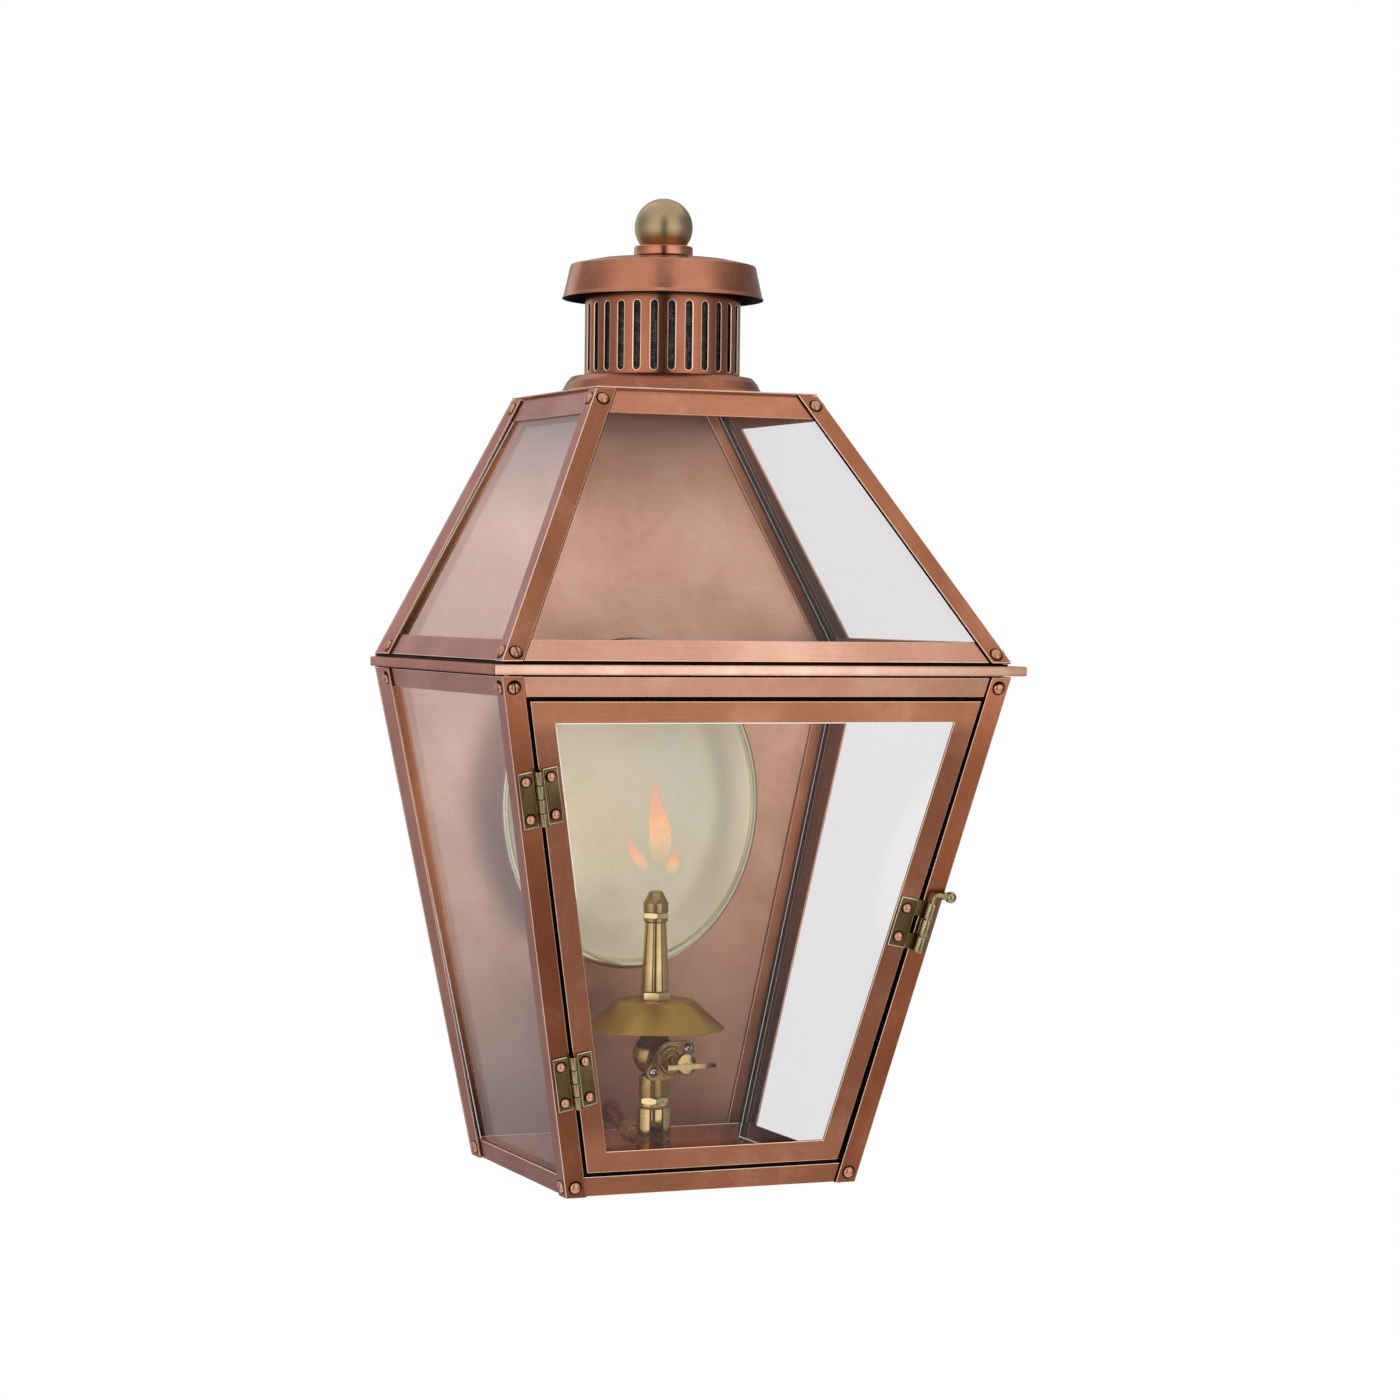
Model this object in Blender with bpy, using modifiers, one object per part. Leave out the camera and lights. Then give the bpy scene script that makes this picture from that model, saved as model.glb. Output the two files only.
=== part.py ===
"""Copper wall lantern with an open gas flame.

The frame is made of corner angles joined by flat rails, glazed on three sides, with a flat back panel.
A glazed door hangs on two hinges at the front left post, and a sliding pin latches it at the right.
Metres. The wall is the plane y = 0, the lantern stands out to -Y, and z = 0 is the middle of the girdle.
"""

from math import acos, cos, pi, sin

import bmesh
import bpy
from mathutils import Matrix, Vector

# Driving sizes of the frame
TOP_WIDTH = 0.146
TOP_DEPTH = 0.152
GIRDLE_WIDTH = 0.326
BOTTOM_WIDTH = 0.190
ROOF_FOOT = 0.0050
ROOF_HEAD = 0.1676
BODY_HEAD = -0.0038
BODY_FOOT = -0.3173

# Sheet work
ANGLE_SHEET = 0.0013
RAIL_SHEET = 0.0012
RAIL_INSET = 0.0018
FLANGE = 0.0129
BACK_LEG = 0.0150
BACK_FLANGE_END = 0.0170
BACK_FLANGE_GIRDLE = 0.0270
PANEL = 0.0015
GAP = 0.0003
GLASS = 0.0030
GLASS_INSET = 0.0033
GLASS_BACK = 0.0062

# Rails
ROOF_TOP_RAIL = 0.0137
ROOF_BOTTOM_RAIL = 0.0122
BODY_TOP_RAIL = 0.0118
BODY_BOTTOM_RAIL = 0.0122

# Girdle collar
COLLAR_HALF = 0.0029
COLLAR_LIP = 0.0069
COLLAR_LEDGE = 0.0041

# Rivets
RIVET_RADIUS = 0.0036
RIVET_HEIGHT = 0.0019
RIVET_SINK = 0.0006

# Vent, heights above the girdle
PLATE_TOP = 0.0010
FLARE_TOP = 0.1799
FLARE_RADIUS = 0.0645
TUBE_RADIUS = 0.0489
TUBE_TOP = 0.2450
SLOTS = 28
SLOT_FOOT = 0.1825
SLOT_HEAD = 0.2250
SLOT_WIDTH = 0.0044
CAP_RIM = 0.2290
CAP_SHOULDER = 0.2500
CAP_TOP = 0.2555
CAP_RADIUS = 0.0634
SHELL = 0.0011
BALL_RADIUS = 0.0183
BALL_CENTRE = 0.2742
STUD_RADIUS = 0.0025

# Door
STILE = 0.0138
DOOR_RAIL = 0.0128
DOOR_HEAD = -0.0183
DOOR_FOOT = -0.3020
HINGE_GAP = 0.0024
LATCH_GAP_HEAD = 0.0024
LATCH_GAP_FOOT = 0.0040
DOOR_SHEET = 0.0016

# Hinges
HINGE_MIDDLES = (-0.0740, -0.2445)
HINGE_LENGTH = 0.0340
LEAF_WIDTH = 0.0092
LEAF_SHEET = 0.0011
KNUCKLE_RADIUS = 0.0024
KNUCKLE_LIFT = 0.0028
PIN_RADIUS = 0.0011

# Latch
LATCH_MIDDLE = -0.1560
LATCH_OVER_POST = 0.0044
LATCH_RADIUS = 0.0034
LATCH_LIFT = 0.0046
LATCH_ROW = 0.0098
LATCH_ROW_GAP = 0.0009
LATCH_PLATE = 0.0118
LATCH_PIN = 0.0015
LATCH_BORE = 0.0016

# Burner, heights above the girdle
AXIS_Y = -TOP_DEPTH / 2
FLOOR_TOP = BODY_FOOT + 0.0017
FLOOR = 0.0012
RISER_TOP = -0.2803
STEM_Z = -0.2483
STEM_TURN = 9 * pi / 180
REFLECTOR_WIDTH = 0.1765
REFLECTOR_HEIGHT = 0.2135
REFLECTOR_MIDDLE = -0.0903
REFLECTOR_RIM_Y = -0.0320
REFLECTOR_DEPTH = 0.0120
SUPPLY_RADIUS = 0.0047
SUPPLY_Z = BODY_FOOT + 0.0238

GIRDLE_HALF = GIRDLE_WIDTH / 2
ROOF_RUN = (GIRDLE_WIDTH - TOP_WIDTH) / 2
BODY_RUN = (GIRDLE_WIDTH - BOTTOM_WIDTH) / 2
GIRDLE_DEPTH = TOP_DEPTH + ROOF_RUN
BOTTOM_DEPTH = GIRDLE_DEPTH - BODY_RUN

for old in list(bpy.data.objects):
    bpy.data.objects.remove(old)

parts = bpy.data.collections.new("copper_wall_lantern")
cutters = bpy.data.collections.new("cutters")
bpy.context.scene.collection.children.link(parts)
bpy.context.scene.collection.children.link(cutters)


# Materials

def metal(name, colour, roughness, metallic=1.0):
    """A Principled material with one colour."""
    material = bpy.data.materials.new(name)
    material.use_nodes = True
    shader = material.node_tree.nodes["Principled BSDF"]
    shader.inputs["Base Color"].default_value = (*colour, 1)
    shader.inputs["Roughness"].default_value = roughness
    shader.inputs["Metallic"].default_value = metallic
    return material


COPPER = metal("copper", (0.42, 0.19, 0.11), 0.38)
PANEL_COPPER = metal("panel_copper", (0.47, 0.24, 0.17), 0.45)
HINGE_BRASS = metal("antique_brass", (0.22, 0.19, 0.09), 0.42)
BURNER_BRASS = metal("burner_brass", (0.55, 0.42, 0.20), 0.25)
PEWTER = metal("pewter", (0.62, 0.57, 0.44), 0.40)
GAUZE = metal("gauze", (0.05, 0.045, 0.04), 0.6)
PANE = metal("pane", (0.85, 0.88, 0.88), 0.02, 0.0)


# General helpers

def add_object(name, mesh, material, matrix=None, parent=None, helper=False):
    """Links a mesh as a part, or as a wire-drawn helper that does not render."""
    mesh.materials.append(material)
    made = bpy.data.objects.new(name, mesh)
    (cutters if helper else parts).objects.link(made)
    if parent:
        made.parent = parent
        made.matrix_parent_inverse = parent.matrix_world.inverted()
    if matrix:
        made.matrix_world = matrix
    if helper:
        made.hide_render = True
        made.display_type = "WIRE"
    return made


def mesh_from(bm, name):
    """Turns a bmesh into mesh data with its normals facing out."""
    bmesh.ops.recalc_face_normals(bm, faces=bm.faces)
    mesh = bpy.data.meshes.new(name)
    bm.to_mesh(mesh)
    bm.free()
    return mesh


def baked(made):
    """Replaces a curve object by a welded mesh object in the same place."""
    bpy.context.view_layer.update()
    evaluated = made.evaluated_get(bpy.context.evaluated_depsgraph_get())
    mesh = bpy.data.meshes.new_from_object(evaluated)
    bm = bmesh.new()
    bm.from_mesh(mesh)
    bmesh.ops.remove_doubles(bm, verts=bm.verts, dist=0.00001)
    bm.to_mesh(mesh)
    bm.free()
    name = made.name
    matrix = made.matrix_world.copy()
    home = made.users_collection[0]
    hidden = made.hide_render
    parent = made.parent
    bpy.data.objects.remove(made)
    new = bpy.data.objects.new(name, mesh)
    home.objects.link(new)
    if parent:
        new.parent = parent
        new.matrix_parent_inverse = parent.matrix_world.inverted()
    new.matrix_world = matrix
    if hidden:
        new.hide_render = True
        new.display_type = "WIRE"
    return new


def outline(name, loops, thickness, matrix, material, parent=None, helper=False):
    """A flat plate from closed 2D loops. It lies on the local xy plane, its thickness to local -z."""
    curve = bpy.data.curves.new(name, "CURVE")
    curve.dimensions = "2D"
    curve.fill_mode = "BOTH"
    curve.extrude = thickness / 2
    for loop in loops:
        spline = curve.splines.new("POLY")
        spline.points.add(len(loop) - 1)
        spline.use_cyclic_u = True
        for point, (u, v) in zip(spline.points, loop):
            point.co = (u, v, 0, 1)
    placed = matrix @ Matrix.Translation((0, 0, -thickness / 2))
    return baked(add_object(name, curve, material, placed, parent, helper))


def turned(name, profile, material, matrix=None, steps=24, parent=None, helper=False, closed=True):
    """A body turned about the local z axis from (radius, height) points, listed top to bottom on the outside."""
    mesh = bpy.data.meshes.new(name)
    points = [(radius, 0, height) for radius, height in profile]
    edges = [(i, i + 1) for i in range(len(points) - 1)]
    if closed:
        edges.append((len(points) - 1, 0))
    mesh.from_pydata(points, edges, [])
    made = add_object(name, mesh, material, matrix, parent, helper)
    screw = made.modifiers.new("turn", "SCREW")
    screw.steps = steps
    screw.render_steps = steps
    screw.use_merge_vertices = True
    screw.merge_threshold = 0.00001
    screw.use_smooth_shade = False
    return made


def rod(name, points, radius, material, parent=None, helper=False):
    """A round bar along a list of points, with flat ends."""
    curve = bpy.data.curves.new(name, "CURVE")
    curve.dimensions = "3D"
    curve.bevel_depth = radius
    curve.bevel_resolution = 2
    curve.use_fill_caps = True
    spline = curve.splines.new("POLY")
    spline.points.add(len(points) - 1)
    for point, place in zip(spline.points, points):
        point.co = (*place, 1)
    return baked(add_object(name, curve, material, None, parent, helper))


def block(name, low, high, material, matrix=None, parent=None, helper=False):
    """A box between two corners of a local frame."""
    bm = bmesh.new()
    bmesh.ops.create_cube(bm, size=1)
    size = Vector(high) - Vector(low)
    bmesh.ops.scale(bm, vec=size, verts=bm.verts)
    bmesh.ops.translate(bm, vec=(Vector(high) + Vector(low)) / 2, verts=bm.verts)
    return add_object(name, mesh_from(bm, name), material, matrix, parent, helper)


def drum(name, radius, low, high, material, matrix=None, parent=None, helper=False, sides=16, top=None):
    """A cylinder or a cone between two heights of a local frame."""
    bm = bmesh.new()
    upper = radius if top is None else top
    bmesh.ops.create_cone(
        bm, cap_ends=True, segments=sides, radius1=radius, radius2=upper, depth=high - low
    )
    bmesh.ops.translate(bm, vec=(0, 0, (high + low) / 2), verts=bm.verts)
    return add_object(name, mesh_from(bm, name), material, matrix, parent, helper)


def boolean(made, others, operation):
    """Joins helpers to a part, or cuts them from it, one exact Boolean each."""
    for other in others:
        step = made.modifiers.new(operation.lower(), "BOOLEAN")
        step.operation = operation
        step.solver = "EXACT"
        step.object = other


def union(made, others):
    boolean(made, others, "UNION")


def cut(made, others):
    boolean(made, others, "DIFFERENCE")


# The leaning faces of the frame

class Face:
    """A leaning face: u runs level along it, v up its slope, and the local z axis points out of it."""

    def __init__(self, origin, right, rise):
        self.origin = Vector(origin)
        self.right = Vector(right)
        self.up = Vector(rise).normalized()
        self.out = self.right.cross(self.up)
        columns = Matrix((self.right, self.up, self.out)).transposed()
        self.matrix = Matrix.Translation(self.origin) @ columns.to_4x4()

    def flat(self, u, z):
        """The 2D point at u along the face and at the height z."""
        return (u, (z - self.origin.z) / self.up.z)

    def world(self, u, z, lift=0.0):
        """The world point at u along the face, at the height z and lifted off the face."""
        return self.matrix @ Vector((*self.flat(u, z), lift))

    def inset(self, depth):
        """The matrix of the plane that lies this deep inside the face."""
        return self.matrix @ Matrix.Translation((0, 0, -depth))


def half_width(z):
    """Half the frame's outside width at a height."""
    if z > 0:
        return GIRDLE_HALF - ROOF_RUN * (z - ROOF_FOOT) / (ROOF_HEAD - ROOF_FOOT)
    return GIRDLE_HALF - BODY_RUN * (BODY_HEAD - z) / (BODY_HEAD - BODY_FOOT)


def depth(z):
    """How far the frame's front stands out from the wall at a height."""
    return half_width(z) + GIRDLE_DEPTH - GIRDLE_HALF


ROOF_RISE = ROOF_HEAD - ROOF_FOOT
BODY_RISE = BODY_HEAD - BODY_FOOT
FACES = {
    "roof_front": Face((0, -GIRDLE_DEPTH, ROOF_FOOT), (1, 0, 0), (0, ROOF_RUN, ROOF_RISE)),
    "roof_left": Face((-GIRDLE_HALF, 0, ROOF_FOOT), (0, -1, 0), (ROOF_RUN, 0, ROOF_RISE)),
    "roof_right": Face((GIRDLE_HALF, 0, ROOF_FOOT), (0, 1, 0), (-ROOF_RUN, 0, ROOF_RISE)),
    "body_front": Face((0, -BOTTOM_DEPTH, BODY_FOOT), (1, 0, 0), (0, -BODY_RUN, BODY_RISE)),
    "body_left": Face((-BOTTOM_WIDTH / 2, 0, BODY_FOOT), (0, -1, 0), (-BODY_RUN, 0, BODY_RISE)),
    "body_right": Face((BOTTOM_WIDTH / 2, 0, BODY_FOOT), (0, 1, 0), (BODY_RUN, 0, BODY_RISE)),
}
SIDES = (("left", -1), ("right", 1))


def panel_loop(face, side, foot, head, back, margin):
    """A four-cornered outline on a side face (side -1 or 1) or on a front face (side 0)."""
    if side == 0:
        low = half_width(foot) - margin
        high = half_width(head) - margin
        corners = ((-low, foot), (low, foot), (high, head), (-high, head))
    else:
        low = depth(foot) - margin
        high = depth(head) - margin
        corners = ((-side * back, foot), (-side * low, foot), (-side * high, head), (-side * back, head))
    return [face.flat(u, z) for u, z in corners]


# Rivets

def rivet(name, face_matrix):
    """A rivet head that sits on a plane at its origin, as a helper to be joined to its sheet."""
    return drum(
        name, RIVET_RADIUS, -RIVET_SINK, RIVET_HEIGHT, COPPER, face_matrix, helper=True, sides=10,
        top=RIVET_RADIUS * 0.55,
    )


# Corner angles

def corner_angle(name, foot_points, head_points, rivets):
    """An angle of sheet: three columns of points (flange edge, corner, flange edge) given at foot and head."""
    bm = bmesh.new()
    low = [bm.verts.new(point) for point in foot_points]
    high = [bm.verts.new(point) for point in head_points]
    for i in range(2):
        bm.faces.new((low[i], low[i + 1], high[i + 1], high[i]))
    mesh = bpy.data.meshes.new(name)
    bm.to_mesh(mesh)
    bm.free()
    made = add_object(name, mesh, COPPER)
    sheet = made.modifiers.new("sheet", "SOLIDIFY")
    sheet.thickness = ANGLE_SHEET
    sheet.offset = -1
    sheet.use_even_offset = True
    union(made, rivets)


def front_post(part, side_name, side, foot, head, rivet_heights):
    """A front corner angle with one flange on the front face and one on the side face."""

    def columns(z):
        half = half_width(z)
        out = depth(z)
        points = [(side * half, -out + FLANGE, z), (side * half, -out, z), (side * (half - FLANGE), -out, z)]
        return points if side < 0 else points[::-1]

    front = FACES[part + "_front"]
    lateral = FACES[part + "_" + side_name]
    name = f"{part}_post_front_{side_name}"
    rivets = []
    for z in rivet_heights:
        spot = front.flat(side * (half_width(z) - FLANGE / 2), z)
        rivets.append(rivet(name + "_rivet", front.matrix @ Matrix.Translation((*spot, 0))))
        spot = lateral.flat(-side * (depth(z) - FLANGE / 2), z)
        rivets.append(rivet(name + "_rivet", lateral.matrix @ Matrix.Translation((*spot, 0))))
    corner_angle(name, columns(foot), columns(head), rivets)


def back_post(part, side_name, side, foot, head, rivet_heights):
    """A back corner angle: one flange on the side face, one leg flat on the back panel."""
    rear = -PANEL - GAP - ANGLE_SHEET

    def flange(z):
        share = abs(z) / max(abs(foot), abs(head))
        return BACK_FLANGE_GIRDLE + (BACK_FLANGE_END - BACK_FLANGE_GIRDLE) * share

    def columns(z):
        half = half_width(z)
        back = rear + ANGLE_SHEET
        points = [(side * (half - BACK_LEG), back, z), (side * half, back, z), (side * half, -flange(z), z)]
        return points if side < 0 else points[::-1]

    lateral = FACES[part + "_" + side_name]
    name = f"{part}_post_back_{side_name}"
    rivets = []
    for z in rivet_heights:
        spot = lateral.flat(-side * (flange(z) - FLANGE / 2), z)
        rivets.append(rivet(name + "_rivet", lateral.matrix @ Matrix.Translation((*spot, 0))))
    corner_angle(name, columns(foot), columns(head), rivets)


ROOF_RIVETS = (ROOF_FOOT + 0.0049, ROOF_HEAD - 0.0065)
BODY_RIVETS = (BODY_FOOT + 0.0067, BODY_HEAD - 0.0065)
for side_name, side in SIDES:
    front_post("roof", side_name, side, ROOF_FOOT, ROOF_HEAD, ROOF_RIVETS)
    back_post("roof", side_name, side, ROOF_FOOT, ROOF_HEAD, ROOF_RIVETS)
    front_post("body", side_name, side, BODY_FOOT, BODY_HEAD, BODY_RIVETS)
    back_post("body", side_name, side, BODY_FOOT, BODY_HEAD, BODY_RIVETS)


# Rails and panes

FACE_SIDES = (("front", 0), ("left", -1), ("right", 1))
RAIL_BACK = PANEL + 2 * GAP + ANGLE_SHEET
RAIL_MARGIN = 0.0040
PANE_MARGIN = 0.0080
RAILS = {
    "roof_top_rail": ("roof", ROOF_HEAD - ROOF_TOP_RAIL, ROOF_HEAD),
    "roof_bottom_rail": ("roof", ROOF_FOOT + 0.0009, ROOF_FOOT + 0.0009 + ROOF_BOTTOM_RAIL),
    "body_top_rail": ("body", BODY_HEAD - 0.0006 - BODY_TOP_RAIL, BODY_HEAD - 0.0006),
    "body_bottom_rail": ("body", BODY_FOOT, BODY_FOOT + BODY_BOTTOM_RAIL),
}
for rail, (part, foot, head) in RAILS.items():
    for side_name, side in FACE_SIDES:
        face = FACES[part + "_" + side_name]
        loop = panel_loop(face, side, foot, head, RAIL_BACK, RAIL_MARGIN)
        outline(f"{rail}_{side_name}", [loop], RAIL_SHEET, face.inset(RAIL_INSET), COPPER)

PANES = {"roof": (ROOF_FOOT + 0.0035, ROOF_HEAD - 0.0008), "body": (BODY_FOOT + 0.0020, BODY_HEAD - 0.0030)}
for part, (foot, head) in PANES.items():
    for side_name, side in FACE_SIDES:
        if (part, side) == ("body", 0):
            continue
        face = FACES[part + "_" + side_name]
        loop = panel_loop(face, side, foot, head, GLASS_BACK, PANE_MARGIN)
        outline(f"{part}_glass_{side_name}", [loop], GLASS, face.inset(GLASS_INSET), PANE)

rear_rail_foot = half_width(BODY_FOOT) - RAIL_MARGIN
rear_rail_head = half_width(BODY_FOOT + BODY_BOTTOM_RAIL) - RAIL_MARGIN
back_plane = Matrix(((1, 0, 0, 0), (0, 0, -1, 0), (0, 1, 0, 0), (0, 0, 0, 1)))
outline(
    "body_bottom_rail_back",
    [[
        (-rear_rail_foot, BODY_FOOT), (rear_rail_foot, BODY_FOOT),
        (rear_rail_head, BODY_FOOT + BODY_BOTTOM_RAIL), (-rear_rail_head, BODY_FOOT + BODY_BOTTOM_RAIL),
    ]],
    RAIL_SHEET, Matrix.Translation((0, -RAIL_BACK - RAIL_SHEET, 0)) @ back_plane, COPPER,
)


# Back panel with the hole for the gas pipe

def circle(radius, middle=(0, 0), steps=24, start=0.0, end=2 * pi):
    """Points along an arc; a full circle leaves out the repeated last point."""
    count = steps if end - start >= 2 * pi - 0.001 else steps + 1
    angles = [start + (end - start) * i / steps for i in range(count)]
    return [(middle[0] + radius * cos(a), middle[1] + radius * sin(a)) for a in angles]


panel_sides = [(half_width(z), z) for z in (BODY_FOOT, BODY_HEAD, ROOF_FOOT, ROOF_HEAD)]
panel_outline = panel_sides + [(-x, z) for x, z in reversed(panel_sides)]
outline(
    "back_panel", [panel_outline, circle(SUPPLY_RADIUS + 0.0010, (0, SUPPLY_Z), 16)],
    PANEL, Matrix.Translation((0, -PANEL, 0)) @ back_plane, PANEL_COPPER,
)


# Girdle collar

def collar_bar(name, corners):
    """A bar with the collar's section: corners(p, z) gives both mitred ends of the section's point (p, z)."""
    rounding = 0.0013
    lip = COLLAR_LIP - rounding
    upper = circle(rounding, (lip, COLLAR_HALF - rounding), 3, 0, pi / 2)
    lower = circle(rounding, (lip, -COLLAR_HALF + rounding), 3, -pi / 2, 0)
    section = lower + upper + [(-0.0016, COLLAR_HALF), (-0.0016, COLLAR_LEDGE), (-0.0130, COLLAR_LEDGE)]
    section.append((-0.0130, -COLLAR_HALF))
    bm = bmesh.new()
    ends = [corners(p, z) for p, z in section]
    face = bm.faces.new([bm.verts.new(start) for start, end in ends])
    drawn = bmesh.ops.extrude_face_region(bm, geom=[face])
    moved = [item for item in drawn["geom"] if isinstance(item, bmesh.types.BMVert)]
    for vert in moved:
        start, end = min(ends, key=lambda pair: (Vector(pair[0]) - vert.co).length)
        vert.co = end
    return add_object(name, mesh_from(bm, name), COPPER)


MITRE_GAP = 0.0002
COLLAR_REAR = PANEL + GAP
collar_bar(
    "collar_front",
    lambda p, z: (
        (-GIRDLE_HALF - p + MITRE_GAP, -GIRDLE_DEPTH - p, z),
        (GIRDLE_HALF + p - MITRE_GAP, -GIRDLE_DEPTH - p, z),
    ),
)
for side_name, side in SIDES:
    collar_bar(
        "collar_" + side_name,
        lambda p, z, side=side: (
            (side * (GIRDLE_HALF + p), -COLLAR_REAR, z),
            (side * (GIRDLE_HALF + p), -GIRDLE_DEPTH - p + MITRE_GAP, z),
        ),
    )


# Floor plate and top plate

level = Matrix.Identity(4)
floor_half = half_width(FLOOR_TOP) - RAIL_MARGIN - 0.0006
floor_front = -depth(FLOOR_TOP) + RAIL_MARGIN + 0.0006
floor_back = -RAIL_BACK - RAIL_SHEET - GAP
outline(
    "floor_plate",
    [[
        (-floor_half, floor_front), (floor_half, floor_front), (floor_half, floor_back), (-floor_half, floor_back),
    ]],
    FLOOR, Matrix.Translation((0, 0, FLOOR_TOP)) @ level, COPPER,
)
top_z = ROOF_HEAD + GAP + PLATE_TOP
top_half = TOP_WIDTH / 2
outline(
    "top_plate",
    [
        [(-top_half, -TOP_DEPTH), (top_half, -TOP_DEPTH), (top_half, 0), (-top_half, 0)],
        circle(TUBE_RADIUS - 0.0030, (0, AXIS_Y), 32),
    ],
    PLATE_TOP, Matrix.Translation((0, 0, top_z)), COPPER,
)


# Vent

vent = Matrix.Translation((0, AXIS_Y, 0))
flare_foot = top_z + GAP
turned(
    "chimney_flare",
    [
        (TUBE_RADIUS + GAP, FLARE_TOP), (0.0570, FLARE_TOP), (0.0578, FLARE_TOP - 0.0005),
        (0.0608, FLARE_TOP - 0.0050), (0.0633, FLARE_TOP - 0.0092), (FLARE_RADIUS, flare_foot),
        (FLARE_RADIUS - SHELL, flare_foot), (0.0620, FLARE_TOP - 0.0094), (0.0595, FLARE_TOP - 0.0052),
        (0.0567, FLARE_TOP - SHELL), (TUBE_RADIUS + GAP, FLARE_TOP - SHELL),
    ],
    COPPER, vent, 48,
)
tube = turned(
    "chimney_tube",
    [
        (TUBE_RADIUS, TUBE_TOP), (TUBE_RADIUS, flare_foot),
        (TUBE_RADIUS - SHELL, flare_foot), (TUBE_RADIUS - SHELL, TUBE_TOP),
    ],
    COPPER, vent, 56,
)
slot_end = SLOT_WIDTH / 2
slot_loop = circle(slot_end, (0, SLOT_HEAD - slot_end), 4, 0, pi)
slot_loop += circle(slot_end, (0, SLOT_FOOT + slot_end), 4, pi, 2 * pi)
slot_cutters = []
for i in range(SLOTS // 2):
    turn = Matrix.Rotation(2 * pi * (i + 0.5) / SLOTS, 4, "Z")
    across = vent @ turn @ Matrix.Translation((0, -0.06, 0)) @ back_plane
    slot_cutters.append(outline(f"slot_{i}", [slot_loop], 0.12, across, COPPER, helper=True))
    slot_cutters[-1].matrix_world = vent @ turn @ Matrix.Translation((0, 0, 0)) @ back_plane
cut(tube, slot_cutters)
turned(
    "vent_mesh",
    [
        (TUBE_RADIUS - 0.0016, SLOT_HEAD + 0.006), (TUBE_RADIUS - 0.0016, SLOT_FOOT - 0.004),
        (TUBE_RADIUS - 0.0022, SLOT_FOOT - 0.004), (TUBE_RADIUS - 0.0022, SLOT_HEAD + 0.006),
    ],
    GAUZE, vent, 40,
)
CAP_OUTSIDE = [(0.0150, CAP_TOP), (0.0440, CAP_TOP - 0.0024), (0.0540, CAP_SHOULDER + 0.0012)]
CAP_OUTSIDE += [(0.0572, CAP_SHOULDER - 0.0012), (0.0584, CAP_SHOULDER - 0.0040), (CAP_RADIUS, CAP_RIM)]
CAP_INSIDE = [(CAP_RADIUS - SHELL, CAP_RIM), (0.0572, CAP_SHOULDER - 0.0040), (0.0561, CAP_SHOULDER - 0.0018)]
CAP_INSIDE += [(0.0534, CAP_SHOULDER + 0.0001), (0.0436, CAP_TOP - 0.0035), (0.0150, CAP_TOP - SHELL)]
stud_hole = STUD_RADIUS + GAP
turned(
    "vent_cap",
    [(stud_hole, CAP_TOP)] + CAP_OUTSIDE + CAP_INSIDE + [(stud_hole, CAP_TOP - SHELL)],
    COPPER, vent, 48,
)
WASHER_RADIUS = 0.0185
WASHER_FOOT = CAP_TOP + GAP
WASHER_TOP = WASHER_FOOT + 0.0066
turned(
    "finial_washer",
    [
        (stud_hole, WASHER_TOP), (WASHER_RADIUS - 0.0012, WASHER_TOP), (WASHER_RADIUS, WASHER_TOP - 0.0012),
        (WASHER_RADIUS, WASHER_FOOT + 0.0012), (WASHER_RADIUS - 0.0012, WASHER_FOOT), (stud_hole, WASHER_FOOT),
    ],
    COPPER, vent, 32,
)
ball_seat = WASHER_TOP + GAP
seat_angle = acos((ball_seat - BALL_CENTRE) / BALL_RADIUS)
ball_profile = [
    (BALL_RADIUS * sin(seat_angle * i / 12), BALL_CENTRE + BALL_RADIUS * cos(seat_angle * i / 12))
    for i in range(13)
]
ball_profile += [(STUD_RADIUS, ball_seat), (STUD_RADIUS, TUBE_TOP - 0.0060), (0, TUBE_TOP - 0.0060)]
turned("finial_ball", ball_profile, HINGE_BRASS, vent, 24, closed=False)
crossbar = outline(
    "chimney_crossbar", [
        [(-0.0470, -0.0060), (0.0470, -0.0060), (0.0470, 0.0060), (-0.0470, 0.0060)],
        circle(stud_hole, (0, 0), 16),
    ],
    0.0020, vent @ Matrix.Translation((0, 0, TUBE_TOP + 0.0023)), COPPER,
)


# Door hinge axis and door

front = FACES["body_front"]


def edge_frame(face, side, inset, z, lift):
    """A frame on the front face: local y runs along the post's edge, local z out of the face."""
    low = face.world(side * (half_width(BODY_FOOT) - inset), BODY_FOOT)
    high = face.world(side * (half_width(BODY_HEAD) - inset), BODY_HEAD)
    along = (high - low).normalized()
    across = along.cross(face.out)
    place = face.world(side * (half_width(z) - inset), z, lift)
    columns = Matrix((across, along, face.out)).transposed()
    return Matrix.Translation(place) @ columns.to_4x4()


HINGE_INSET = FLANGE + HINGE_GAP / 2
hinge_frame = edge_frame(front, -1, HINGE_INSET, sum(HINGE_MIDDLES) / 2, KNUCKLE_LIFT)
door_axis = bpy.data.objects.new("door_axis", None)
door_axis.matrix_world = hinge_frame
parts.objects.link(door_axis)
bpy.context.view_layer.update()


def door_edge(side, z):
    """The u coordinate of the door's outer edge at a height."""
    if side < 0:
        return -(half_width(z) - FLANGE - HINGE_GAP)
    share = (DOOR_HEAD - z) / (DOOR_HEAD - DOOR_FOOT)
    return half_width(z) - FLANGE - LATCH_GAP_HEAD - (LATCH_GAP_FOOT - LATCH_GAP_HEAD) * share


def door_loop(inset, rail):
    """The door's outline moved in by an inset at its stiles and by a rail's height at its ends."""
    foot = DOOR_FOOT + rail
    head = DOOR_HEAD - rail
    corners = ((-1, foot), (1, foot), (1, head), (-1, head))
    return [front.flat(door_edge(side, z) - side * inset, z) for side, z in corners]


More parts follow.
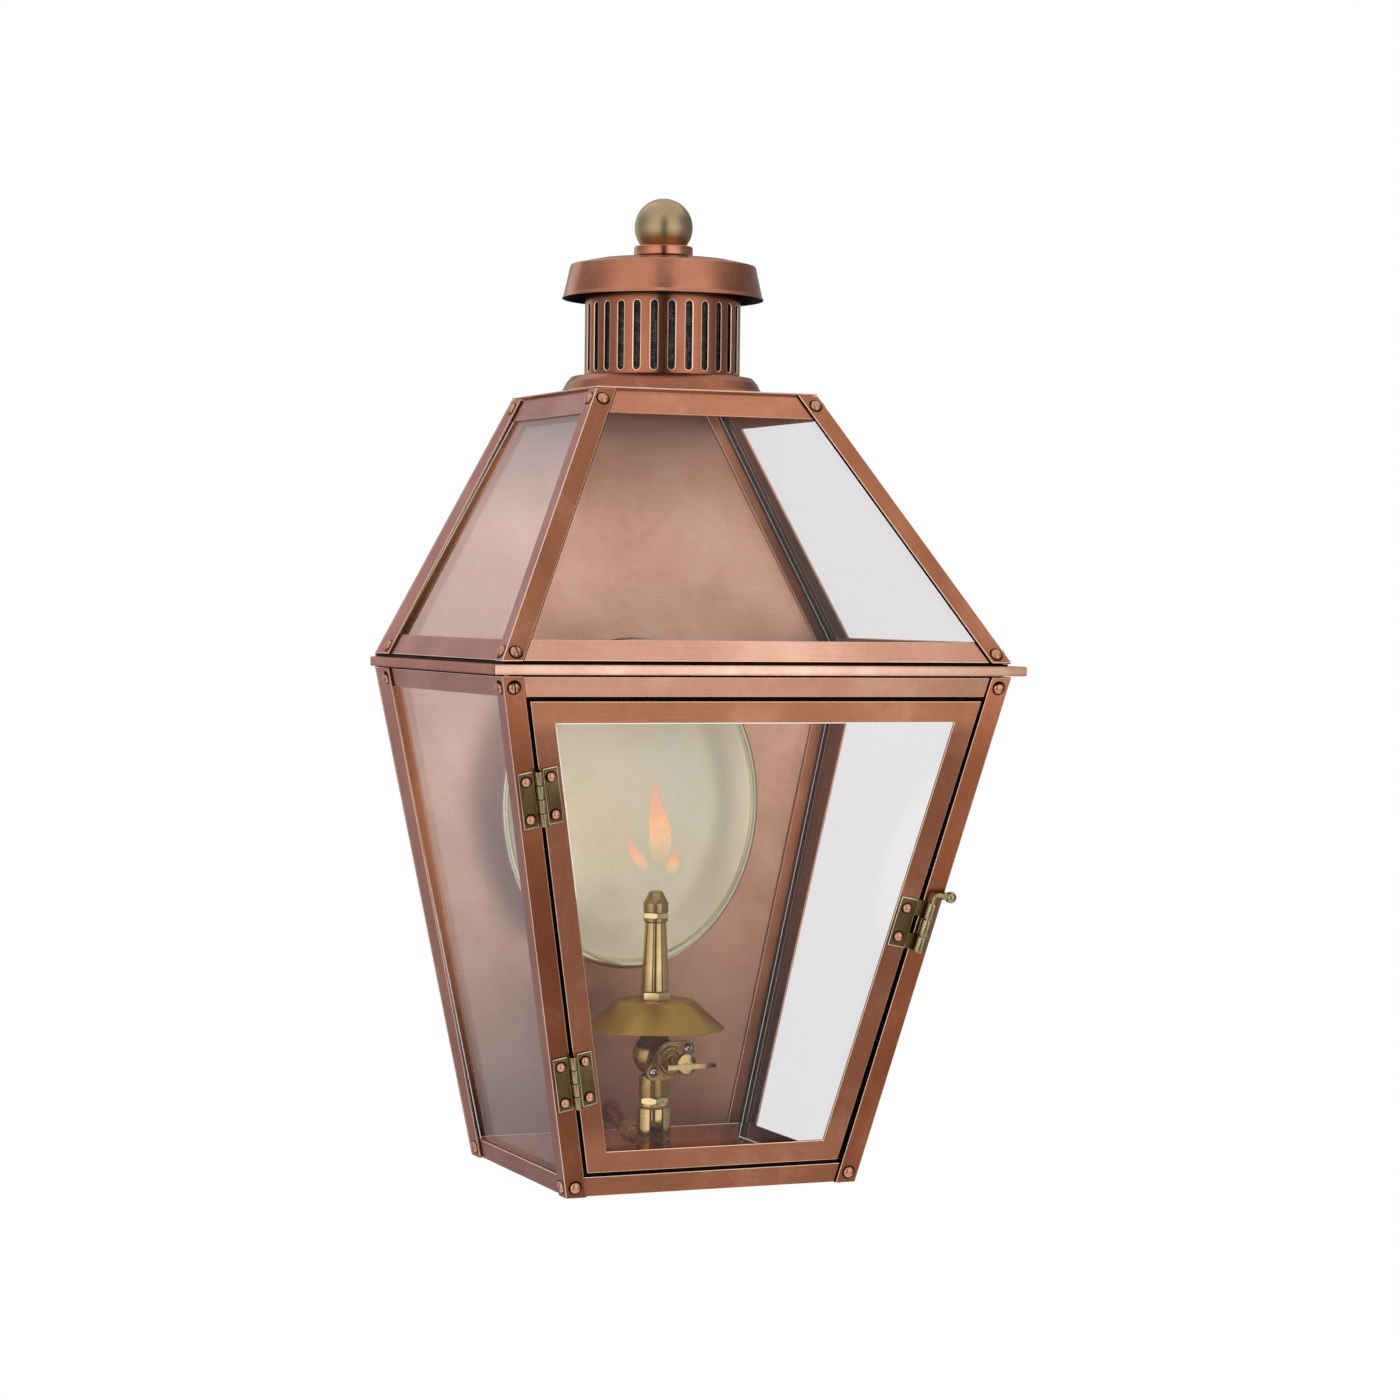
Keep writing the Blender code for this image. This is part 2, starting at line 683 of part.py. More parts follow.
def rounded(loop, radius, steps=3):
    """Rounds the corners of a convex loop with arcs."""
    made = []
    count = len(loop)
    for i in range(count):
        here = Vector(loop[i])
        back = (Vector(loop[i - 1]) - here).normalized()
        ahead = (Vector(loop[(i + 1) % count]) - here).normalized()
        half = acos(back.dot(ahead)) / 2
        middle = here + (back + ahead).normalized() * radius / sin(half)
        reach = radius * cos(half) / sin(half)
        start = here + back * reach - middle
        end = here + ahead * reach - middle
        for step in range(steps + 1):
            made.append(tuple(middle + start.lerp(end, step / steps).normalized() * radius))
    return made


outline(
    "door_frame", [door_loop(0, 0), rounded(door_loop(STILE, DOOR_RAIL), 0.0030)],
    DOOR_SHEET, front.matrix, COPPER, door_axis,
)
outline(
    "door_glass", [door_loop(0.0060, 0.0055)], GLASS, front.inset(DOOR_SHEET + GAP), PANE, door_axis,
)


# Hinges

def tube_between(name, radius, bore, low, high, material, matrix, parent=None, helper=False):
    """A short tube along the local y axis of a frame."""
    stand = matrix @ Matrix.Rotation(-pi / 2, 4, "X")
    if bore:
        profile = [(radius, high), (radius, low), (bore, low), (bore, high)]
        return turned(name, profile, material, stand, 12, parent, helper)
    return drum(name, radius, low, high, material, stand, parent, helper, 12)


def hinge_leaf(name, frame, side, rows, bore, pin, parent):
    """A hinge leaf: plate, straps and knuckles at its rows, and the pin where it carries one."""
    plate_low = GAP - KNUCKLE_LIFT
    inner = KNUCKLE_RADIUS + 0.0006
    half = HINGE_LENGTH / 2
    xs = sorted((side * inner, side * (inner + LEAF_WIDTH)))
    leaf = block(name, (xs[0], -half, plate_low), (xs[1], half, plate_low + LEAF_SHEET), HINGE_BRASS, frame, parent)
    joined = []
    pitch = HINGE_LENGTH / 4
    for row in rows:
        low = half - (row + 1) * pitch + 0.0002
        high = half - row * pitch - 0.0002
        xs = sorted((side * 0.0002, side * (inner + 0.0010)))
        strap_low = (xs[0], low, plate_low)
        strap_high = (xs[1], high, plate_low + LEAF_SHEET)
        joined.append(block(name + "_strap", strap_low, strap_high, HINGE_BRASS, frame, helper=True))
        joined.append(
            tube_between(name + "_knuckle", KNUCKLE_RADIUS, 0, low, high, HINGE_BRASS, frame, helper=True)
        )
    for end in (-1, 1):
        spot = (side * (inner + LEAF_WIDTH / 2), end * (half - 0.0055), plate_low + LEAF_SHEET)
        joined.append(rivet(name + "_rivet", frame @ Matrix.Translation(spot)))
    union(leaf, joined)
    reach = half + 0.0004
    if pin:
        union(leaf, [tube_between(name + "_pin", PIN_RADIUS, 0, -reach, reach, HINGE_BRASS, frame, helper=True)])
    if bore:
        cut(leaf, [tube_between(name + "_bore", bore, 0, -reach, reach, HINGE_BRASS, frame, helper=True)])


for label, middle in zip(("upper", "lower"), HINGE_MIDDLES):
    frame = edge_frame(front, -1, HINGE_INSET, middle, KNUCKLE_LIFT)
    hinge_leaf(f"hinge_{label}_frame_leaf", frame, -1, (0, 2), 0, True, None)
    hinge_leaf(f"hinge_{label}_door_leaf", frame, 1, (1, 3), PIN_RADIUS + 0.0001, False, door_axis)


# Latch: rows from the top are door, frame, door

latch_frame = edge_frame(front, 1, FLANGE - LATCH_OVER_POST, LATCH_MIDDLE, LATCH_LIFT)
latch_half = 1.5 * LATCH_ROW + LATCH_ROW_GAP
row_pitch = LATCH_ROW + LATCH_ROW_GAP
PLATE_LOW = GAP - LATCH_LIFT
PLATE_HIGH = PLATE_LOW + LEAF_SHEET
plate_edge = -LATCH_OVER_POST - LATCH_GAP_HEAD - 0.0012


def latch_row(row):
    """Low and high ends of a knuckle row, row -1 at the bottom, 0 in the middle, 1 at the top."""
    return (row * row_pitch - LATCH_ROW / 2, row * row_pitch + LATCH_ROW / 2)


latch_plate = block(
    "latch_plate", (plate_edge - LATCH_PLATE, -latch_half, PLATE_LOW), (plate_edge, latch_half, PLATE_HIGH),
    HINGE_BRASS, latch_frame, door_axis,
)
latch_joined = []
for row in (-1, 1):
    low, high = latch_row(row)
    latch_joined.append(
        block("latch_strap", (plate_edge - 0.001, low, PLATE_LOW), (0, high, PLATE_HIGH), HINGE_BRASS,
              latch_frame, helper=True)
    )
    latch_joined.append(
        tube_between("latch_knuckle", LATCH_RADIUS, 0, low, high, HINGE_BRASS, latch_frame, helper=True)
    )
    spot = Matrix.Translation((plate_edge - LATCH_PLATE * 0.55, row * (latch_half - 0.0065), PLATE_HIGH))
    latch_joined.append(rivet("latch_rivet", latch_frame @ spot))
union(latch_plate, latch_joined)
latch_bore = tube_between(
    "latch_bore", LATCH_BORE, 0, -latch_half - 0.001, latch_half + 0.001, HINGE_BRASS, latch_frame, helper=True
)
cut(latch_plate, [latch_bore])

keeper_low, keeper_high = latch_row(0)
keeper = block(
    "latch_keeper", (-0.0036, keeper_low, PLATE_LOW), (0.0036, keeper_high, PLATE_LOW + 0.0024),
    HINGE_BRASS, latch_frame,
)
union(keeper, [
    tube_between("keeper_knuckle", LATCH_RADIUS, 0, keeper_low, keeper_high, HINGE_BRASS, latch_frame, helper=True)
])
keeper_slot = block(
    "keeper_slot", (-LATCH_BORE, keeper_low - 0.001, 0), (LATCH_BORE, keeper_high + 0.001, 0.006),
    HINGE_BRASS, latch_frame, helper=True,
)
keeper_bore = tube_between(
    "keeper_bore", LATCH_BORE, 0, keeper_low - 0.001, keeper_high + 0.001, HINGE_BRASS, latch_frame, helper=True
)
cut(keeper, [keeper_bore, keeper_slot])

pin_axis = bpy.data.objects.new("pin_axis", None)
parts.objects.link(pin_axis)
pin_axis.parent = door_axis
pin_axis.matrix_parent_inverse = door_axis.matrix_world.inverted()
pin_axis.matrix_world = latch_frame
bpy.context.view_layer.update()
PIN_BEND = 0.0025
pin_top = latch_half + 0.0060
pin_points = [Vector((0, -latch_half, 0)), Vector((0, pin_top - PIN_BEND, 0))]
for step in range(1, 5):
    angle = pi / 2 * step / 4
    pin_points.append(Vector((PIN_BEND * (1 - cos(angle)), pin_top - PIN_BEND * (1 - sin(angle)), 0)))
pin_points.append(Vector((0.0060, pin_top, 0)))
latch_pin = rod("latch_pin", [latch_frame @ point for point in pin_points], LATCH_PIN, HINGE_BRASS, pin_axis)
beads = []
for reach, radius in ((0.0065, 0.0025), (0.0106, 0.0036)):
    bm = bmesh.new()
    bmesh.ops.create_uvsphere(bm, u_segments=14, v_segments=8, radius=radius)
    place = latch_frame @ Matrix.Translation((reach, pin_top, 0))
    beads.append(add_object("latch_bead", mesh_from(bm, "latch_bead"), HINGE_BRASS, place, helper=True))
union(latch_pin, beads)


# Reflector and its standoff

bowl_radius = REFLECTOR_WIDTH / 2
BEAD = 0.0024
SKIN = 0.0010
floor_radius = bowl_radius * 0.62
wall_radius = bowl_radius - 2 * BEAD
inner = [(0, 0), (floor_radius, 0)]
for step in range(1, 6):
    share = step / 5
    inner.append((floor_radius + (wall_radius - floor_radius) * share, REFLECTOR_DEPTH * share ** 2))
outer = [(0, -SKIN), (floor_radius, -SKIN)]
for step in range(1, 6):
    share = step / 5
    radius = floor_radius + (wall_radius - floor_radius) * share
    outer.append((radius + SKIN * 0.4 * share, REFLECTOR_DEPTH * share ** 2 - SKIN))
bead_middle = (bowl_radius - BEAD, REFLECTOR_DEPTH)
bead = [(bead_middle[0] + BEAD * cos(a), bead_middle[1] + BEAD * sin(a))
        for a in [pi - 0.25 * pi * i for i in range(6)]]
reflector_profile = inner[:-1] + bead + outer[:0:-1] + [(0, -SKIN)]
facing = Matrix.Translation((0, REFLECTOR_RIM_Y + REFLECTOR_DEPTH, REFLECTOR_MIDDLE)) @ Matrix.Rotation(pi / 2, 4, "X")
reflector = turned("reflector", reflector_profile, PEWTER, facing, 48, closed=False)
bm = bmesh.new()
bm.from_mesh(reflector.data)
bm.to_mesh(reflector.data)
bm.free()
reflector.scale = (1, REFLECTOR_HEIGHT / REFLECTOR_WIDTH, 1)
standoff_length = -REFLECTOR_RIM_Y - REFLECTOR_DEPTH - PANEL - GAP
union(reflector, [
    drum("reflector_standoff", 0.009, -standoff_length, -SKIN / 2, PEWTER, facing, helper=True, sides=16)
])


# Burner stack

turned(
    "riser_tube",
    [(0.0107, RISER_TOP), (0.0107, FLOOR_TOP + GAP), (0.0075, FLOOR_TOP + GAP), (0.0075, RISER_TOP)],
    BURNER_BRASS, vent, 24,
)
NUT_RING = RISER_TOP + GAP
nut = turned(
    "riser_nut",
    [(0.0098, NUT_RING + 0.0064), (0.0098, NUT_RING + 0.0022), (0.0062, NUT_RING + 0.0022),
     (0.0062, NUT_RING + 0.0064)],
    BURNER_BRASS, vent, 6,
)
union(nut, [turned(
    "nut_ring", [(0.0092, NUT_RING + 0.0030), (0.0097, NUT_RING + 0.0015), (0.0092, NUT_RING), (0.0068, NUT_RING),
                 (0.0068, NUT_RING + 0.0030)],
    BURNER_BRASS, vent, 24, helper=True,
)])
VALVE_FOOT = NUT_RING + 0.0064 + GAP
VALVE_HEAD = -0.2337
VALVE_BALL = 0.0137
valve_mid = STEM_Z + 0.0015
SHIELD_FOOT = BODY_FOOT + 0.0874
SHIELD_TOP = BODY_FOOT + 0.1052
NECK_TOP = SHIELD_TOP - 0.0010 - GAP
valve_profile = [(0.0050, NECK_TOP), (0.0080, NECK_TOP), (0.0080, VALVE_HEAD), (0.0088, VALVE_HEAD)]
ball_start = acos((VALVE_HEAD - 0.0035 - valve_mid) / VALVE_BALL)
ball_end = pi - acos(min(1, 0.0121 / VALVE_BALL))
for step in range(9):
    angle = ball_start + (ball_end - ball_start) * step / 8
    valve_profile.append((VALVE_BALL * sin(angle), valve_mid + VALVE_BALL * cos(angle)))
valve_profile += [(0.0094, valve_mid - 0.0130), (0.0094, VALVE_FOOT), (0.0050, VALVE_FOOT)]
valve_body = turned("valve_body", valve_profile, BURNER_BRASS, vent, 24)
stem = Matrix.Translation((0, AXIS_Y, STEM_Z)) @ Matrix.Rotation(STEM_TURN, 4, "Z") @ Matrix.Rotation(pi / 2, 4, "X")
COVER_FRONT = 0.0205
COVER_SHEET = 0.0035
union(valve_body, [
    drum("valve_boss", 0.0105, 0.0055, COVER_FRONT - COVER_SHEET - GAP, BURNER_BRASS, stem, helper=True, sides=20)
])

SCREW_REACH = 0.0139
SCREW_TILT = 29 * pi / 180
END_RADIUS = 0.0052
MID_RADIUS = 0.0118
tangent = acos((MID_RADIUS - END_RADIUS) / SCREW_REACH)
cover_loop = circle(END_RADIUS, (SCREW_REACH, 0), 6, -tangent, tangent)
cover_loop += circle(MID_RADIUS, (0, 0), 6, tangent, pi - tangent)
cover_loop += circle(END_RADIUS, (-SCREW_REACH, 0), 6, pi - tangent, pi + tangent)
cover_loop += circle(MID_RADIUS, (0, 0), 6, pi + tangent, 2 * pi - tangent)
tilted = stem @ Matrix.Rotation(SCREW_TILT, 4, "Z")
cover = outline(
    "valve_cover", [cover_loop, circle(0.0042, (0, 0), 16)], COVER_SHEET,
    tilted @ Matrix.Translation((0, 0, COVER_FRONT)), BURNER_BRASS,
)
cover_joined = [
    turned("cover_ring", [(0.0088, COVER_FRONT + 0.0018), (0.0093, COVER_FRONT - 0.0005),
                          (0.0062, COVER_FRONT - 0.0005), (0.0062, COVER_FRONT + 0.0018)],
           BURNER_BRASS, stem, 20, helper=True)
]
for end in (-1, 1):
    spot = tilted @ Matrix.Translation((end * SCREW_REACH, 0, 0))
    cover_joined.append(
        drum("cover_screw", 0.0029, COVER_FRONT - 0.001, COVER_FRONT + 0.0018, BURNER_BRASS, spot, helper=True,
             sides=12, top=0.0022)
    )
union(cover, cover_joined)

KEY_REACH = 0.0405
key_axis = bpy.data.objects.new("key_axis", None)
parts.objects.link(key_axis)
key_axis.matrix_world = stem
bpy.context.view_layer.update()
key = drum(
    "valve_key", 0.0041, COVER_FRONT - COVER_SHEET, KEY_REACH - 0.002, BURNER_BRASS, stem, key_axis, sides=16
)
union(key, [
    drum("key_disc", 0.0067, KEY_REACH - 0.0040, KEY_REACH, BURNER_BRASS, stem, helper=True, sides=24),
    block("key_wing", (-0.0158, -0.0027, KEY_REACH - 0.0012), (0.0192, 0.0003, KEY_REACH + 0.0030),
          BURNER_BRASS, stem, helper=True),
])

turned(
    "heat_shield",
    [
        (0.0070, SHIELD_TOP), (0.0248, SHIELD_TOP), (0.0442, SHIELD_FOOT + 0.0004), (0.0440, SHIELD_FOOT),
        (0.0246, SHIELD_TOP - 0.0010), (0.0070, SHIELD_TOP - 0.0010),
    ],
    BURNER_BRASS, vent, 40,
)
NUT_FOOT = SHIELD_TOP + GAP
NUT_HEAD = NUT_FOOT + 0.0048
turned(
    "shield_nut", [(0.0098, NUT_HEAD), (0.0098, NUT_FOOT), (0.0062, NUT_FOOT), (0.0062, NUT_HEAD)],
    BURNER_BRASS, vent, 6,
)
BURNER_HEAD = BODY_FOOT + 0.1545
turned(
    "burner_tube",
    [(0.0068, BURNER_HEAD), (0.0089, NUT_HEAD + GAP), (0.0045, NUT_HEAD + GAP), (0.0045, BURNER_HEAD)],
    BURNER_BRASS, vent, 24,
)
NOZZLE_FOOT = BURNER_HEAD + GAP
nozzle = turned(
    "burner_nozzle",
    [
        (0.0041, BODY_FOOT + 0.1741), (0.0080, BODY_FOOT + 0.1665), (0.0080, NOZZLE_FOOT + 0.0018),
        (0.0076, NOZZLE_FOOT + 0.0016), (0.0076, NOZZLE_FOOT), (0.0030, NOZZLE_FOOT), (0.0024, BODY_FOOT + 0.1741),
    ],
    BURNER_BRASS, vent, 24,
)
union(nozzle, [
    turned("nozzle_hex", [(0.0088, NOZZLE_FOOT + 0.0056), (0.0088, NOZZLE_FOOT + 0.0024),
                          (0.0060, NOZZLE_FOOT + 0.0024), (0.0060, NOZZLE_FOOT + 0.0056)],
           BURNER_BRASS, vent, 6, helper=True)
])


# Gas supply

ELBOW_Z = BODY_FOOT + 0.0165
pipe_route = [(0, 0, SUPPLY_Z), (0, -0.0070, SUPPLY_Z)]
for step in range(1, 8):
    share = step / 8
    ease = share * share * (3 - 2 * share)
    pipe_route.append((0, -0.0070 - 0.0210 * share, SUPPLY_Z + (ELBOW_Z - SUPPLY_Z) * ease))
pipe_route += [(0, -0.0280, ELBOW_Z), (0, -0.0340, ELBOW_Z)]
rod("supply_pipe", pipe_route, SUPPLY_RADIUS, COPPER)
rearward = Matrix.Translation((0, 0, ELBOW_Z)) @ Matrix.Rotation(pi / 2, 4, "X")
elbow = turned(
    "supply_nut", [(0.0078, 0.0490), (0.0078, 0.0345), (0.0040, 0.0345), (0.0040, 0.0490)],
    BURNER_BRASS, rearward, 6,
)
union(elbow, [drum("nut_neck", 0.0056, 0.0480, -AXIS_Y - 0.0107 - 2 * GAP, BURNER_BRASS, rearward, helper=True)])
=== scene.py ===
"""Looks of a copper wall lantern with an open gas flame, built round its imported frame.

Each sub-assembly is a class that holds its sizes, builds its meshes and dresses them. Metres throughout: the
wall is the plane y = 0, the lantern stands out to -Y, and z = 0 is the middle of the girdle collar.
"""

from __future__ import annotations

import logging
from dataclasses import dataclass, field
from enum import Enum
from math import acos, cos, pi, radians, sin
from typing import Callable, Iterable, Sequence

import bmesh
import bpy
from bmesh.types import BMesh, BMVert
from bpy.types import ID, Curve, Material, Mesh, MeshPolygon, Node, NodeSocket, NodeTree, Object
from mathutils import Matrix, Vector

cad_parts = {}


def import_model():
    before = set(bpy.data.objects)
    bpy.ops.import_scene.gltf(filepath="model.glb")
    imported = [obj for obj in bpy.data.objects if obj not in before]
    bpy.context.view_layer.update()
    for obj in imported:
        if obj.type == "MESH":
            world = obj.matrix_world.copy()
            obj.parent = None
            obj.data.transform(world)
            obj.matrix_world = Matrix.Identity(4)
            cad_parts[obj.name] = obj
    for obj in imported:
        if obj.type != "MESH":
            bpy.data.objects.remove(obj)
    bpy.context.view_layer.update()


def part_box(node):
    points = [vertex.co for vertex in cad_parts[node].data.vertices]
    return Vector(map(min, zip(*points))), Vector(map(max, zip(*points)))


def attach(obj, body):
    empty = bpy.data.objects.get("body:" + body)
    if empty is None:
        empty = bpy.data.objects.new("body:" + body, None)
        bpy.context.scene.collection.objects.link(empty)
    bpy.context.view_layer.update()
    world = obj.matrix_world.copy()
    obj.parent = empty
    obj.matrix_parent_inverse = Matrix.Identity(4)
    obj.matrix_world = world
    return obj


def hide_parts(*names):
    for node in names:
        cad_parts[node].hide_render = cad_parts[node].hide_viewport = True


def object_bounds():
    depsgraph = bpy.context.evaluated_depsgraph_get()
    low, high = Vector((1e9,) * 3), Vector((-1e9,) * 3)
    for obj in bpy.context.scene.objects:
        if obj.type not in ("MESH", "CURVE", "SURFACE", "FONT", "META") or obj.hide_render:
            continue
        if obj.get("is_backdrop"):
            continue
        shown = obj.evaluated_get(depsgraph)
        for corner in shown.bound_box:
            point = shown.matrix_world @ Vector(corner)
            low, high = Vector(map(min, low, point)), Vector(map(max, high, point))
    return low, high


LOG = logging.getLogger("lantern")
Colour = tuple[float, float, float]
Point = tuple[float, float]
MM = 0.001
AXIS_Y = -0.076
FLANGE = 12.9 * MM
AIR = 0.3 * MM
SHARP_ANGLE = radians(38)
MERGED = 0.00001
ACROSS_GRAIN = 1900.0
ALONG_GRAIN = 14.0
ROUND_GRAIN = 0.9
EVEN_GRAIN = 500.0


class Body(Enum):
    """The moving bodies of the lantern."""

    LANTERN = "lantern"
    DOOR = "door"
    PIN = "pin"
    KEY = "key"


class Slot(Enum):
    """The material slots of the record."""

    COPPER = "copper"
    PANEL = "panel_copper"
    ANTIQUE = "antique_brass"
    BURNER = "burner_brass"
    PEWTER = "pewter"
    GAUZE = "gauze"
    PANE = "pane"


class Grain(Enum):
    """How the marks of brushing run over a piece, in its own axes."""

    ALONG_X = "along_x"
    ALONG_Y = "along_y"
    TURNED = "turned"
    NONE = "none"


# Shader building


class Link:
    """A single number in a shader that takes part in Python arithmetic; colours go through Graph.blend."""

    def __init__(self, graph: Graph, socket: NodeSocket) -> None:
        """Keeps the graph and one of its output sockets."""
        self.graph = graph
        self.socket = socket

    def __add__(self, other: Link | float) -> Link:
        """Sum."""
        return self.graph.math("ADD", self, other)

    def __radd__(self, other: float) -> Link:
        """Sum with a number on the left."""
        return self.graph.math("ADD", other, self)

    def __sub__(self, other: Link | float) -> Link:
        """Difference."""
        return self.graph.math("SUBTRACT", self, other)

    def __rsub__(self, other: float) -> Link:
        """Difference from a number."""
        return self.graph.math("SUBTRACT", other, self)

    def __mul__(self, other: Link | float) -> Link:
        """Product."""
        return self.graph.math("MULTIPLY", self, other)

    def __rmul__(self, other: float) -> Link:
        """Product with a number on the left."""
        return self.graph.math("MULTIPLY", other, self)

    def __truediv__(self, other: Link | float) -> Link:
        """Quotient."""
        return self.graph.math("DIVIDE", self, other)

    def __rtruediv__(self, other: float) -> Link:
        """Quotient with a number on top."""
        return self.graph.math("DIVIDE", other, self)

    def __pow__(self, other: float) -> Link:
        """Power."""
        return self.graph.math("POWER", self, other)


class Graph:
    """A node tree under construction."""

    def __init__(self, tree: NodeTree) -> None:
        """Starts with an empty tree."""
        self.tree = tree
        tree.nodes.clear()

    def node(self, kind: str, settings: dict | None = None, sockets: dict | None = None) -> Node:
        """Adds any node.

        Args:
            kind: The node's type without the ShaderNode prefix.
            settings: Attributes that are set first.
            sockets: Input values or links, by socket name or index.

        Returns:
            The new node.
        """
        made = self.tree.nodes.new("ShaderNode" + kind)
        for name, value in (settings or {}).items():
            setattr(made, name, value)
        for name, value in (sockets or {}).items():
            self.feed(made.inputs[name], value)
        return made

    def feed(self, socket: NodeSocket, value: object) -> None:
        """Links a value to a socket, or sets the socket to a constant."""
        if isinstance(value, Link):
            self.tree.links.new(value.socket, socket)
        elif isinstance(value, NodeSocket):
            self.tree.links.new(value, socket)
        elif isinstance(value, tuple) and socket.type == "RGBA" and len(value) == 3:
            socket.default_value = (*value, 1.0)
        else:
            socket.default_value = value

    def math(self, operation: str, *values: Link | float, clamp: bool = False) -> Link:
        """Adds a Math node and returns its result."""
        settings = {"operation": operation, "use_clamp": clamp}
        return Link(self, self.node("Math", settings, dict(enumerate(values))).outputs[0])

    def noise(self, vector: Link, scale: float, detail: float = 3.0, distortion: float = 0.0) -> Link:
        """A noise pattern between about 0.2 and 0.8."""
        sockets = {"Vector": vector, "Scale": scale, "Detail": detail, "Distortion": distortion}
        return Link(self, self.node("TexNoise", None, sockets).outputs[0])

    def spread(self, value: Link, low: float, high: float, to_low: float = 0.0,
               to_high: float = 1.0) -> Link:
        """Maps a range of values to another one, with clamping.

        Args:
            value: What is mapped.
            low: The value that maps to to_low.
            high: The value that maps to to_high.
            to_low: Lowest result.
            to_high: Highest result.

        Returns:
            The mapped value.
        """
        sockets = {"Value": value, "From Min": low, "From Max": high, "To Min": to_low, "To Max": to_high}
        return Link(self, self.node("MapRange", {"clamp": True}, sockets).outputs[0])

    def blend(self, factor: Link | float, first: Link | Colour, second: Link | Colour,
              mode: str = "MIX") -> Link:
        """Mixes two colours.

        Args:
            factor: Share of the second colour.
            first: Colour at 0.
            second: Colour at 1.
            mode: Blend type of the Mix node.

        Returns:
            The mixed colour.
        """
        settings = {"data_type": "RGBA", "blend_type": mode, "clamp_factor": True}
        mixed = self.node("Mix", settings, {"Factor": factor})
        self.feed(mixed.inputs[6], first)
        self.feed(mixed.inputs[7], second)
        return Link(self, mixed.outputs[2])

    def ramp(self, factor: Link, stops: Sequence[tuple[float, Colour]], smooth: bool = True) -> Link:
        """Adds a colour ramp.

        Args:
            factor: Where on the ramp.
            stops: Positions and colours in rising order.
            smooth: Eases between the stops.

        Returns:
            The ramp's colour.
        """
        made = self.node("ValToRGB", None, {"Fac": factor})
        made.color_ramp.interpolation = "EASE" if smooth else "LINEAR"
        elements = made.color_ramp.elements
        while len(elements) < len(stops):
            elements.new(0.5)
        for element, (position, colour) in zip(elements, stops):
            element.position = position
            element.color = (*colour, 1.0)
        return Link(self, made.outputs[0])

    def place(self) -> Link:
        """The position on the piece, in the piece's own axes."""
        return Link(self, self.node("TexCoord").outputs["Object"])

    def parts(self, vector: Link) -> tuple[Link, Link, Link]:
        """The three components of a vector."""
        split = self.node("SeparateXYZ", None, {0: vector})
        return tuple(Link(self, out) for out in split.outputs)

    def joined(self, x: Link | float, y: Link | float, z: Link | float) -> Link:
        """A vector from three values."""
        return Link(self, self.node("CombineXYZ", None, {0: x, 1: y, 2: z}).outputs[0])

    def facing(self, blend: float) -> Link:
        """How far the surface is turned away from the eye."""
        return Link(self, self.node("LayerWeight", None, {"Blend": blend}).outputs["Facing"])

    def layered(self, factor: Link, first: Node, second: Node) -> NodeSocket:
        """Two shaders laid over each other by a factor."""
        sockets = {0: factor, 1: first.outputs[0], 2: second.outputs[0]}
        return self.node("MixShader", None, sockets).outputs[0]


def material_of(name: str, draw: Callable[[Graph], NodeSocket]) -> Material:
    """Makes a material, or finds it where it was made before.

    Args:
        name: Name of the material.
        draw: Adds its nodes and returns the output of its shader.

    Returns:
        The material.
    """
    found = bpy.data.materials.get(name)
    if found:
        return found
    made = bpy.data.materials.new(name)
    made.use_nodes = True
    graph = Graph(made.node_tree)
    graph.node("OutputMaterial", None, {0: draw(graph)})
    return made


# Finishes


